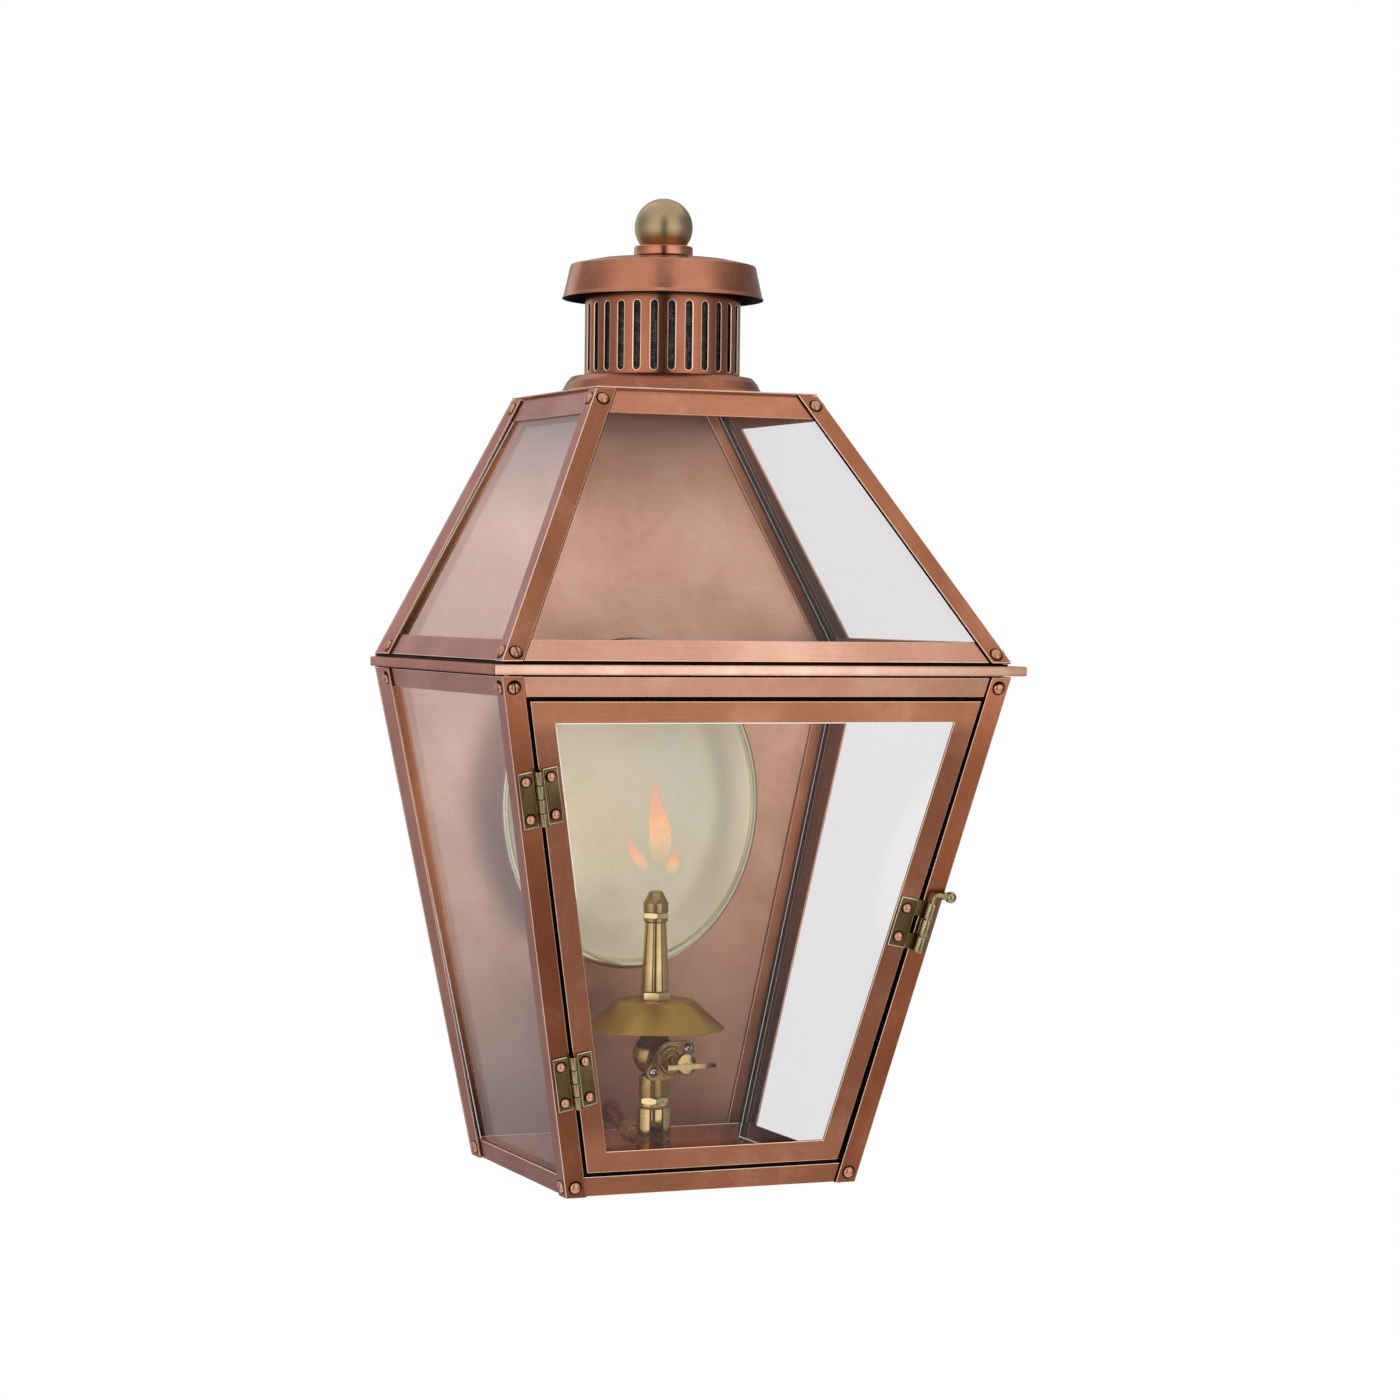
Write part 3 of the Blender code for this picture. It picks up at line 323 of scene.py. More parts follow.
@dataclass(frozen=True)
class Metal:
    """A worked metal: brushed or turned, mottled by patina, with brighter spots.

    Attributes:
        name: Name of the material.
        base: Colour of the clean metal.
        dark: Colour where the patina is strongest.
        light: Colour where the metal is rubbed bright.
        roughness: Middle roughness.
        streak: Strength of the brush marks.
        mottle: Share of patina at its strongest.
        cloud: Size of the patina's clouds in metres.
        relief: Height of the marks in the bump.
        pits: Strength of a coarse cast skin.
        fade: Places along one of the piece's own axes, each with a factor on the brightness there: a painted
            gradient of light and shade.
        axis: The axis of the fade, 0 for x and 1 for y.
    """

    name: str
    base: Colour
    dark: Colour
    light: Colour
    roughness: float = 0.32
    streak: float = 0.14
    mottle: float = 0.40
    cloud: float = 0.05
    relief: float = 0.02
    pits: float = 0.0
    fade: tuple[Point, ...] = ()
    axis: int = 1

    def brush_vector(self, graph: Graph, grain: Grain) -> Link:
        """Object position, stretched so that a noise on it runs along the grain.

        Args:
            graph: Where the nodes go.
            grain: Which way the marks run.

        Returns:
            The stretched position.
        """
        x, y, z = graph.parts(graph.place())
        if grain is Grain.TURNED:
            radius = graph.math("SQRT", x * x + y * y)
            turn = graph.math("ARCTAN2", y, x)
            return graph.joined(radius * ACROSS_GRAIN, z * ACROSS_GRAIN, turn * ROUND_GRAIN)
        if grain is Grain.ALONG_X:
            return graph.joined(x * ALONG_GRAIN, y * ACROSS_GRAIN, z * ACROSS_GRAIN)
        if grain is Grain.ALONG_Y:
            return graph.joined(x * ACROSS_GRAIN, y * ALONG_GRAIN, z * ACROSS_GRAIN)
        return graph.joined(x * EVEN_GRAIN, y * EVEN_GRAIN, z * EVEN_GRAIN)

    def build(self, grain: Grain = Grain.NONE, shade: float = 1.0) -> Material:
        """Makes the material for one grain direction.

        Args:
            grain: Which way the brush marks run.
            shade: Factor on the brightness of the colours, which paints lighter, lit copies of a finish.

        Returns:
            The material; a second call with the same choice returns the same one.
        """
        title = f"{self.name}_{grain.value}_{round(shade * 100)}"
        return material_of(title, lambda graph: self.draw(graph, grain, shade))

    def draw(self, graph: Graph, grain: Grain, shade: float) -> NodeSocket:
        """Adds the metal's nodes.

        Args:
            graph: Where they go.
            grain: Which way the brush marks run.
            shade: Factor on the brightness of the colours, which paints lighter, lit copies of a finish.

        Returns:
            The output of its shader.
        """
        tone = {name: tuple(c * shade for c in getattr(self, name)) for name in ("base", "dark", "light")}
        place = graph.place()
        clouds = graph.noise(place, 1 / self.cloud, 4.0, 0.6)
        specks = graph.noise(place, 9 / self.cloud, 3.0)
        marks = graph.noise(self.brush_vector(graph, grain), 1.0, 2.0)
        patina = graph.spread(clouds + (specks - 0.5) * 0.35, 0.42, 0.72, 0.0, self.mottle)
        rubbed = graph.spread(clouds - (specks - 0.5) * 0.3, 0.46, 0.24, 0.0, 0.7)
        colour = graph.blend(patina, tone["base"], tone["dark"])
        colour = graph.blend(rubbed, colour, tone["light"])
        streaks = graph.spread(marks, 0.3, 0.7, 1.0 - self.streak, 1.0)
        colour = graph.blend(1.0, colour, graph.joined(streaks, streaks, streaks), "MULTIPLY")
        # Painted light and shade: the fade darkens and brightens the colour along one axis of the piece.
        if self.fade:
            low, high = self.fade[0][0], self.fade[-1][0]
            stops = [((spot - low) / (high - low), (level, level ** 1.15, level ** 1.3))
                     for spot, level in self.fade]
            along = graph.spread(graph.parts(place)[self.axis], low, high)
            colour = graph.blend(1.0, colour, graph.ramp(along, stops), "MULTIPLY")
        rough = self.roughness + (marks - 0.5) * 0.06 + patina * 0.08
        height = marks * self.relief
        if self.pits:
            height = height + graph.noise(place, 900.0, 4.0) * self.pits
        bump = graph.node("Bump", None, {"Strength": 0.25, "Distance": 0.0006, "Height": height})
        shader = graph.node("BsdfPrincipled", None, {
            "Base Color": colour, "Metallic": 1.0, "Roughness": rough, "Normal": bump.outputs[0],
        })
        return shader.outputs[0]


@dataclass(frozen=True)
class Glazing:
    """Clear sheet glass: a pane lets light through and mirrors a little; its ground edge is painted
    near-black as shade, and its arris carries a glowing painted highlight.

    Attributes:
        tint: Colour of what comes through one face.
        edge: Colour of the ground edge, near-black as painted shade.
        line: Colour of the arris, the bright line where a face meets the edge: a glowing painted highlight.
    """

    tint: Colour = (0.966, 0.967, 0.972)
    edge: Colour = (0.026, 0.012, 0.009)
    line: Colour = (0.82, 0.93, 0.89)

    def pane(self) -> Material:
        """The material of a pane's two faces."""
        return material_of("pane_clear", self.draw)

    def draw(self, graph: Graph) -> NodeSocket:
        """Adds the nodes of the clear faces and returns their shader.

        Args:
            graph: Where they go.

        Returns:
            The shader's output.
        """
        smears = graph.spread(graph.noise(graph.place(), 14.0, 4.0, 0.8), 0.45, 0.75, 0.0, 0.006)
        clear = graph.node("BsdfTransparent", None, {"Color": self.tint})
        mirror = graph.node("BsdfGlossy", None, {"Color": (1.0, 1.0, 1.0), "Roughness": 0.03})
        return graph.layered(graph.facing(0.5) ** 5.0 * 0.9 + 0.018 + smears, clear, mirror)

    def solid(self, name: str, colour: Colour, glow: float, inner: bool = False) -> Material:
        """A finish for the ground edge, painted dark as shade, or for the arris and the bead, painted bright
        and glowing as highlight.

        Args:
            name: Name of the material.
            colour: Its colour.
            glow: How strongly it glows, as painted light.
            inner: Whether only the arris of the inner face carries the painted highlight while the outer one
                is painted dark as shade.

        Returns:
            The material.
        """
        def draw(graph: Graph) -> NodeSocket:
            """Adds the nodes and returns their shader.

            Args:
                graph: Where they go.

            Returns:
                The shader's output.
            """
            chips = graph.spread(graph.noise(graph.place(), 900.0, 2.0), 0.35, 0.7)
            tone = graph.blend(chips, colour, tuple(c * 0.8 for c in colour))
            if inner:
                depth = graph.parts(graph.place())[2]
                tone = graph.blend(graph.spread(depth, -2.0 * MM, -1.2 * MM), tone, self.edge)
            return graph.node("BsdfPrincipled", None, {
                "Base Color": tone, "Roughness": 0.25, "Specular IOR Level": 0.12, "Emission Color": tone,
                "Emission Strength": glow,
            }).outputs[0]

        return material_of(name, draw)

    def ground(self) -> Material:
        """The material of a pane's ground edge: painted shade."""
        return self.solid("pane_edge", self.edge, 0.0)

    def arris(self) -> Material:
        """The material of the bright line round a pane: a glowing painted highlight."""
        return self.solid("pane_arris", self.line, 0.6, True)

    def bead(self) -> Material:
        """The material of the pale bead at the door's window: a glowing painted highlight."""
        return self.solid("pane_bead", self.line, 0.6)


@dataclass(frozen=True)
class Weave:
    """Fine woven wire: round wires over holes painted near-black as the shade inside the vent.

    Attributes:
        pitch: Distance between wires.
        radius: Radius of the rolled gauze.
        wire: Colour of the wires.
    """

    pitch: float = 0.0015
    radius: float = 0.047
    wire: Colour = (0.27, 0.27, 0.24)

    def build(self) -> Material:
        """Makes the gauze material for a cylinder about its own z axis."""
        return material_of("vent_gauze", self.draw)

    def draw(self, graph: Graph) -> NodeSocket:
        """Adds the nodes of the wires and returns their shader.

        Args:
            graph: Where they go.

        Returns:
            The shader's output.
        """
        x, y, z = graph.parts(graph.place())
        around = graph.math("ARCTAN2", y, x) * (self.radius / self.pitch)
        up = z * (1 / self.pitch)
        across = graph.math("ABSOLUTE", graph.math("SINE", around * pi))
        along = graph.math("ABSOLUTE", graph.math("SINE", up * pi))
        ridge = across * along
        wire = graph.spread(ridge, 0.55, 0.80)
        uneven = graph.spread(graph.noise(graph.place(), 260.0, 2.0), 0.42, 0.66, 0.05, 1.0)
        # The holes between the wires are near-black: painted shade.
        colour = graph.blend(wire * uneven, (0.003, 0.003, 0.003), self.wire)
        bump = graph.node("Bump", None, {"Strength": 0.8, "Distance": 0.0003, "Height": ridge})
        shader = graph.node("BsdfPrincipled", None, {
            "Base Color": colour, "Metallic": wire, "Roughness": 0.45, "Normal": bump.outputs[0],
        })
        return shader.outputs[0]


@dataclass(frozen=True)
class Fire:
    """A gas flame: a glow that is densest low down and fades out at the tip and the rim.

    Attributes:
        core: Colour of the hottest part.
        rim: Colour near the outline.
    """

    core: Colour = (1.0, 0.56, 0.24)
    rim: Colour = (1.0, 0.30, 0.16)

    def build(self, height: float) -> Material:
        """Makes the flame material for a tongue of this height along its own z axis."""
        return material_of(f"flame_{round(height / MM)}", lambda graph: self.draw(graph, height))

    def draw(self, graph: Graph, height: float) -> NodeSocket:
        """Adds the nodes of a tongue and returns their shader.

        Args:
            graph: Where they go.
            height: Height of the tongue.

        Returns:
            The shader's output.
        """
        z = graph.parts(graph.place())[2] * (1 / height)
        body = graph.spread(graph.facing(0.35), 0.15, 0.85, 1.0, 0.0)
        foot = graph.spread(z, 0.0, 0.42)
        tip = graph.spread(z, 1.0, 0.45)
        licks = graph.spread(graph.noise(graph.place(), 120.0, 2.0, 1.4), 0.36, 0.62, 0.35, 1.0)
        density = body * foot * tip * licks * 0.66
        colour = graph.blend(graph.spread(z, 0.1, 0.8), self.core, self.rim)
        glow = graph.node("Emission", None, {"Color": colour, "Strength": 1.25})
        return graph.layered(density, graph.node("BsdfTransparent"), glow)


# Copies of one copper follow, up to INNER_COPPER: each is lighter or darker and tinted as its pieces' faces
# catch the studio light, and their fades paint gradients of it, so they are painted light and shade laid over
# the metal's own random patina and brushing.
COPPER = Metal("copper", (0.62, 0.262, 0.152), (0.40, 0.146, 0.080), (0.80, 0.41, 0.27))
# Its fade paints a bright band near the middle of the rail: painted highlight.
RAIL = Metal(
    "rail_copper", (0.86, 0.460, 0.320), (0.60, 0.275, 0.17), (0.96, 0.60, 0.45),
    fade=((-0.163, 0.94), (-0.06, 1.0), (0.01, 1.22), (0.07, 1.0), (0.163, 0.80)), axis=0,
)
HEAD_RAIL = Metal(
    "head_rail_copper", (0.86, 0.440, 0.300), (0.60, 0.265, 0.16), (0.96, 0.58, 0.43),
    fade=((-0.163, 0.93), (-0.06, 0.94), (0.0, 0.92), (0.07, 0.84), (0.163, 0.72)), axis=0,
)
# Paler than the rails: a painted highlight on the bar's rounded front; its fade paints both ends darker, the
# right one most, as shade.
COLLAR_COPPER = Metal(
    "collar_copper", (0.92, 0.59, 0.445), (0.72, 0.39, 0.265), (0.98, 0.74, 0.60), 0.26, 0.08, 0.5, 0.03,
    fade=((0.0, 0.84), (0.06, 0.92), (0.17, 1.02), (0.24, 0.88), (0.30, 0.66), (0.34, 0.50)), axis=0,
)
FLOOR_COPPER = Metal("floor_copper", (0.60, 0.255, 0.145), (0.36, 0.135, 0.075), (0.76, 0.38, 0.25))
DOOR_RAIL = Metal(
    "door_rail_copper", (0.60, 0.250, 0.140), (0.36, 0.132, 0.072), (0.76, 0.38, 0.25),
    fade=((0.0, 0.74), (0.05, 0.76), (0.25, 1.0), (0.33, 1.0)),
)
FOOT_RAIL = Metal("foot_rail_copper", (0.37, 0.144, 0.078), (0.25, 0.090, 0.047), (0.54, 0.25, 0.155))
STILE_COPPER = Metal(
    "stile_copper", (0.310, 0.120, 0.064), (0.195, 0.068, 0.034), (0.43, 0.195, 0.12),
    fade=((0.028, 1.42), (0.05, 1.0), (0.22, 1.0), (0.27, 1.04), (0.284, 1.25), (0.293, 1.70)),
)
POST_COPPER = Metal(
    "post_copper", (0.30, 0.102, 0.048), (0.18, 0.056, 0.025), (0.43, 0.18, 0.10),
    fade=((0.0, 0.78), (0.16, 0.76), (0.26, 1.02), (0.318, 1.48)), axis=0,
)
RAKE_COPPER = Metal("rake_copper", (0.385, 0.148, 0.076), (0.25, 0.090, 0.044), (0.53, 0.25, 0.15))
ROSE_LIT_COPPER = Metal("rose_lit_copper", (0.455, 0.180, 0.135), (0.32, 0.118, 0.086), (0.56, 0.255, 0.202))
SALMON_LIT_COPPER = Metal("salmon_lit_copper", (0.48, 0.156, 0.094), (0.34, 0.104, 0.062), (0.60, 0.240, 0.165))
TURNED_COPPER = Metal(
    "turned_copper", (0.56, 0.225, 0.134), (0.39, 0.140, 0.078), (0.70, 0.34, 0.23), 0.20, 0.10, 0.35, 0.03
)
TUBE_COPPER = Metal(
    "tube_copper", (0.40, 0.145, 0.080), (0.27, 0.088, 0.045), (0.54, 0.235, 0.15), 0.20, 0.10, 0.35, 0.03
)
# Pale copper on broken edges and slot rims: wear and painted highlight.
WORN_HIGHLIGHT_COPPER = Metal(
    "worn_highlight_copper", (0.98, 0.70, 0.54), (0.84, 0.50, 0.36), (1.0, 0.80, 0.66), 0.26, 0.03, 0.25
)
# Dark, rough copper on cut sides, slot walls, the pipe grommet and the back angles' wall legs: painted shade.
DULL_SHADED_COPPER = Metal("dull_shaded_copper", (0.22, 0.095, 0.062), (0.11, 0.045, 0.030), (0.34, 0.17, 0.11), 0.42, 0.1)
# The angles' inner faces; the fade paints them dark at each angle's foot and bright at its head: painted
# shade and light.
INNER_COPPER = Metal(
    "inner_copper", (0.66, 0.265, 0.130), (0.40, 0.145, 0.066), (0.76, 0.37, 0.21), 0.38, 0.08,
    fade=((0.0, 0.22), (0.08, 0.48), (0.18, 0.95), (0.318, 1.10)), axis=0,
)
RIVET_COPPER = Metal(
    "rivet_copper", (0.60, 0.30, 0.19), (0.44, 0.20, 0.125), (0.72, 0.41, 0.28), 0.22, 0.02, 0.2, 0.02
)
PINK_COPPER = Metal(
    "pink_copper", (0.70, 0.34, 0.235), (0.54, 0.24, 0.16), (0.82, 0.46, 0.34), 0.26, 0.02, 0.2, 0.02
)
# Near-black finish for slits, gaps, recesses, slots, the flanges' shadow lines and the vent faces that look
# inward or down: painted shade, and at the rivet feet partly patina.
SHADE_AND_PATINA = Metal(
    "patina", (0.016, 0.008, 0.006), (0.010, 0.006, 0.005), (0.03, 0.015, 0.010), 0.6, 0.05, 0.5, 0.01
)
# The back panel; the fade paints it dark at the foot and at the top and brightest near the girdle: painted
# shade and light.
SHEET_COPPER = Metal(
    "sheet_copper", (0.90, 0.515, 0.37), (0.72, 0.36, 0.24), (0.97, 0.65, 0.50), 0.42, 0.09, 0.60, 0.06,
    0.01,
    fade=((-0.317, 0.44), (-0.25, 0.51), (-0.13, 0.82), (-0.03, 1.08), (0.02, 1.0), (0.08, 0.95),
          (0.13, 0.68), (0.168, 0.38)),
)
ANTIQUE = Metal(
    "antique_brass", (0.135, 0.088, 0.036), (0.072, 0.044, 0.018), (0.25, 0.185, 0.09), 0.28, 0.08, 0.40,
    0.03
)
# Paler than the leaves: a painted highlight on the round knuckles and the latch pin.
KNUCKLE_BRASS = Metal(
    "knuckle_brass", (0.40, 0.325, 0.175), (0.27, 0.205, 0.100), (0.58, 0.49, 0.30), 0.18, 0.06, 0.30, 0.02
)
# Pale brass on broken edges and knuckle ends: wear and painted highlight.
WORN_HIGHLIGHT_BRASS = Metal(
    "worn_highlight_brass", (0.86, 0.79, 0.56), (0.66, 0.58, 0.38), (0.95, 0.90, 0.70), 0.26, 0.03, 0.3, 0.02
)
BALL_BRASS = Metal(
    "ball_brass", (0.43, 0.315, 0.180), (0.33, 0.235, 0.128), (0.54, 0.42, 0.26), 0.32, 0.03, 0.35, 0.03,
    0.004
)
BURNER = Metal(
    "turned_brass", (0.72, 0.500, 0.205), (0.50, 0.325, 0.118), (0.92, 0.74, 0.40), 0.10, 0.22, 0.30, 0.05,
    0.01
)
# Pale brass on the nuts and the jet's flats: a painted highlight.
HIGHLIGHT_BRASS = Metal(
    "highlight_brass", (0.88, 0.68, 0.33), (0.66, 0.47, 0.19), (0.96, 0.84, 0.54), 0.18, 0.04, 0.25, 0.03, 0.01
)
NOZZLE = Metal(
    "nozzle_brass", (0.46, 0.310, 0.115), (0.32, 0.200, 0.068), (0.66, 0.49, 0.23), 0.22, 0.10, 0.30, 0.02,
    0.01
)
CAST = Metal(
    "cast_brass", (0.47, 0.285, 0.084), (0.25, 0.142, 0.040), (0.74, 0.54, 0.23), 0.26, 0.04, 0.50, 0.02,
    0.02, 0.30
)
SHIELD = Metal(
    "shield_brass", (0.53, 0.300, 0.046), (0.40, 0.215, 0.030), (0.66, 0.42, 0.10), 0.37, 0.06, 0.45, 0.05
)
# The fade paints the dish darker towards its top: painted shade.
DISH = Metal(
    "dish_pewter", (0.98, 0.89, 0.66), (0.80, 0.69, 0.47), (1.0, 0.96, 0.80), 0.48, 0.02, 0.40, 0.09, 0.004,
    fade=((-0.10, 1.0), (0.02, 1.0), (0.10, 0.80)),
)
DISH_RIM = Metal(
    "dish_rim", (0.70, 0.63, 0.45), (0.54, 0.47, 0.31), (0.86, 0.80, 0.62), 0.28, 0.03, 0.25, 0.05
)
STEEL = Metal(
    "screw_steel", (0.80, 0.79, 0.77), (0.50, 0.48, 0.46), (0.95, 0.95, 0.95), 0.15, 0.03, 0.3, 0.01
)
GLASS = Glazing()


# Mesh building


def plain_mesh(bm: BMesh, name: str) -> Mesh:
    """Turns a bmesh into mesh data and frees it.

    Args:
        bm: The bmesh.
        name: Name of the mesh.

    Returns:
        The mesh data.
    """
    mesh = bpy.data.meshes.new(name)
    bm.to_mesh(mesh)
    bm.free()
    return mesh


def mesh_of(bm: BMesh, name: str) -> Mesh:
    """Turns a bmesh into mesh data with its normals facing out."""
    bmesh.ops.recalc_face_normals(bm, faces=bm.faces)
    return plain_mesh(bm, name)


def bmesh_of(mesh: Mesh) -> BMesh:
    """Opens mesh data as a bmesh.

    Args:
        mesh: The mesh data, which stays as it is.

    Returns:
        The bmesh.
    """
    bm = bmesh.new()
    bm.from_mesh(mesh)
    return bm


def linked(name: str, data: ID) -> Object:
    """An object of this data in the scene.

    Args:
        name: Name of the object.
        data: Its data.

    Returns:
        The object.
    """
    made = bpy.data.objects.new(name, data)
    bpy.context.scene.collection.objects.link(made)
    return made


def taken(holder: Object, helpers: Sequence[Object] = ()) -> Mesh:
    """The mesh that an object gives with its modifiers; the object and its helpers are then removed.

    Args:
        holder: The object whose mesh is taken.
        helpers: Objects that its modifiers use.

    Returns:
        The mesh.
    """
    bpy.context.view_layer.update()
    made = bpy.data.meshes.new_from_object(holder.evaluated_get(bpy.context.evaluated_depsgraph_get()))
    for used in (holder, *helpers):
        bpy.data.objects.remove(used)
    return made


def drawn(curve: Curve, lines: Iterable[Sequence[Sequence[float]]], closed: bool) -> BMesh:
    """Draws lines with a curve's settings.

    Args:
        curve: The empty curve, with its fill or its thickness set.
        lines: The points of each line.
        closed: Whether the lines close on themselves.

    Returns:
        Their surface, with doubled points merged.
    """
    for line in lines:
        spline = curve.splines.new("POLY")
        spline.points.add(len(line) - 1)
        spline.use_cyclic_u = closed
        for point, spot in zip(spline.points, line):
            point.co = (*spot, 1)
    mesh = taken(linked(curve.name, curve))
    bm = bmesh_of(mesh)
    bmesh.ops.remove_doubles(bm, verts=bm.verts, dist=MERGED)
    bpy.data.meshes.remove(mesh)
    return bm


def circle(radius: float, middle: Point = (0.0, 0.0), steps: int = 32, start: float = 0.0,
           end: float = 2 * pi) -> list[Point]:
    """Points along an arc.

    Args:
        radius: Radius of the arc.
        middle: Its centre.
        steps: Number of chords.
        start: First angle.
        end: Last angle; a full circle leaves out the repeated point.

    Returns:
        The points in order.
    """
    count = steps if end - start >= 2 * pi - 0.001 else steps + 1
    angles = [start + (end - start) * i / steps for i in range(count)]
    return [(middle[0] + radius * cos(a), middle[1] + radius * sin(a)) for a in angles]


def eased(points: Sequence[Point], radius: float, steps: int = 3, closed: bool = True) -> list[Point]:
    """Rounds the corners of an outline.

    Args:
        points: The outline's corners.
        radius: Radius of each arc, made smaller where an edge is short.
        steps: Chords per arc.
        closed: Whether the last point joins the first.

    Returns:
        The rounded outline.
    """
    made: list[Point] = []
    count = len(points)
    for i, point in enumerate(points):
        here = Vector(point)
        if not closed and i in (0, count - 1):
            made.append(point)
            continue
        back = Vector(points[i - 1]) - here
        ahead = Vector(points[(i + 1) % count]) - here
        limit = min(back.length, ahead.length) * 0.45
        back.normalize()
        ahead.normalize()
        half = acos(max(-1.0, min(1.0, back.dot(ahead)))) / 2
        if half > 1.52:
            made.append(point)
            continue
        reach = min(radius * cos(half) / sin(half), limit)
        arc = reach * sin(half) / cos(half)
        middle = here + (back + ahead).normalized() * arc / sin(half)
        start = here + back * reach - middle
        end = here + ahead * reach - middle
        for step in range(steps + 1):
            turned_to = start.lerp(end, step / steps).normalized() * arc
            made.append(tuple(middle + turned_to))
    return made


def lathe(name: str, profile: Sequence[Point], steps: int = 96, closed: bool = True) -> Mesh:
    """Turns a profile about the z axis.

    Args:
        name: Name of the mesh.
        profile: Radius and height of each point.
        steps: Number of facets round the axis.
        closed: Whether the last point joins the first.

    Returns:
        The turned mesh.
    """
    bm = bmesh.new()
    rings = []
    for radius, height in profile:
        if radius < 1e-6:
            rings.append([bm.verts.new((0, 0, height))] * steps)
            continue
        ring = [bm.verts.new((radius * cos(a), radius * sin(a), height))
                for a in (2 * pi * i / steps for i in range(steps))]
        rings.append(ring)
    pairs = list(zip(rings, rings[1:] + rings[:1])) if closed else list(zip(rings, rings[1:]))
    for upper, lower in pairs:
        for i in range(steps):
            corners = [upper[i], upper[(i + 1) % steps], lower[(i + 1) % steps], lower[i]]
            unique = list(dict.fromkeys(corners))
            if len(unique) > 2:
                bm.faces.new(unique)
    return mesh_of(bm, name)


def sheet_of(name: str, loops: Iterable[Sequence[Point]], thickness: float) -> Mesh:
    """A flat plate on the xy plane with its thickness to -z.

    Args:
        name: Name of the mesh.
        loops: The outline, and the outlines of any holes.
        thickness: Thickness of the plate.

    Returns:
        The plate's mesh.
    """
    curve = bpy.data.curves.new(name, "CURVE")
    curve.dimensions = "2D"
    curve.fill_mode = "BOTH"
    curve.extrude = thickness / 2
    bm = drawn(curve, [[(u, v, 0) for u, v in loop] for loop in loops], True)
    bmesh.ops.translate(bm, vec=(0, 0, -thickness / 2), verts=bm.verts)
    return mesh_of(bm, name)


def box_of(name: str, low: Sequence[float], high: Sequence[float]) -> Mesh:
    """A box between two corners, as a blank for a bevel or a cut.

    Args:
        name: Name of the mesh.
        low: Its lowest corner.
        high: Its highest corner.

    Returns:
        The box.
    """
    bm = bmesh.new()
    bmesh.ops.create_cube(bm, size=1)
    bmesh.ops.scale(bm, vec=Vector(high) - Vector(low), verts=bm.verts)
    bmesh.ops.translate(bm, vec=(Vector(high) + Vector(low)) / 2, verts=bm.verts)
    return mesh_of(bm, name)


def swept(name: str, points: Sequence[Vector], radius: float, resolution: int = 6) -> Mesh:
    """A round bar along a smooth line of points, with its ends closed.

    Args:
        name: Name of the mesh.
        points: The line's points.
        radius: Radius of the bar.
        resolution: Facets in a quarter of its section, less one.

    Returns:
        The bar.
    """
    curve = bpy.data.curves.new(name, "CURVE")
    curve.dimensions = "3D"
    curve.bevel_depth = radius
    curve.bevel_resolution = resolution
    curve.use_fill_caps = True
    return mesh_of(drawn(curve, [points], False), name)


def broken(mesh: Mesh, width: float, index: int = 1, segments: int = 2) -> Mesh:
    """Breaks the sharp edges of a mesh; the roundings get the material of this index.

    Args:
        mesh: The mesh that is changed.
        width: Width of the roundings.
        index: Their material.
        segments: Facets across them.

    Returns:
        The same mesh.
    """
    bm = bmesh_of(mesh)
    sharp = [edge for edge in bm.edges if edge.is_manifold and edge.calc_face_angle() > SHARP_ANGLE]
    bmesh.ops.bevel(bm, geom=sharp, offset=width, segments=segments, profile=0.5, affect="EDGES",
                    clamp_overlap=True, material=index)
    bm.to_mesh(mesh)
    bm.free()
    return mesh


def marked(mesh: Mesh, index: int,
           test: Callable[[MeshPolygon], bool] | None = None) -> Mesh:
    """Gives the material of this index to the faces that pass the test, or to all of them."""
    for polygon in mesh.polygons:
        if test is None or test(polygon):
            polygon.material_index = index
    return mesh


def cut_side(polygon: MeshPolygon) -> bool:
    """Whether a face of a flat plate is one of its cut sides."""
    return abs(polygon.normal.z) < 0.5


def combined(name: str, meshes: Sequence[tuple[Mesh, Matrix]],
             indices: Sequence[int] | None = None) -> Mesh:
    """Puts several meshes into one.

    Args:
        name: Name of the mesh.
        meshes: Each mesh with the matrix that places it.
        indices: A material index for each; left out, each keeps its own.

    Returns:
        The one mesh.
    """
    bm = bmesh.new()
    for number, (mesh, matrix) in enumerate(meshes):
        copy = mesh.copy()
        copy.transform(matrix)
        if indices:
            marked(copy, indices[number])
        bm.from_mesh(copy)
        bpy.data.meshes.remove(copy)
    return plain_mesh(bm, name)


def carved(mesh: Mesh, tools: Sequence[tuple[Mesh, Matrix]],
           operation: str = "DIFFERENCE") -> Mesh:
    """Cuts tools from a mesh, joins them to it or keeps what they share.

    Args:
        mesh: What is worked on.
        tools: Each tool's mesh with the matrix that places it.
        operation: The Boolean's operation.

    Returns:
        The worked mesh.
    """
    holder = linked("carved_blank", mesh)
    helpers = []
    for tool, matrix in tools:
        helper = linked("carving_tool", tool)
        helper.matrix_world = matrix
        helpers.append(helper)
        step = holder.modifiers.new("carve", "BOOLEAN")
        step.operation = operation
        step.solver = "EXACT"
        step.object = helper
    return taken(holder, helpers)


def rectangle(low: Vector, high: Vector) -> list[Point]:
    """The outline of a packed box from above."""
    return [(low.x, low.y), (high.x, low.y), (high.x, high.y), (low.x, high.y)]


@dataclass
class Edge:
    """How the edges of a sheet-metal piece are broken.

    Attributes:
        width: Width of the rounding.
        segments: Facets across it.
        worn_highlight: Whether the rounding shows bright metal, as wear and painted highlight.
    """

    width: float = 0.25 * MM
    segments: int = 2
    worn_highlight: bool = True


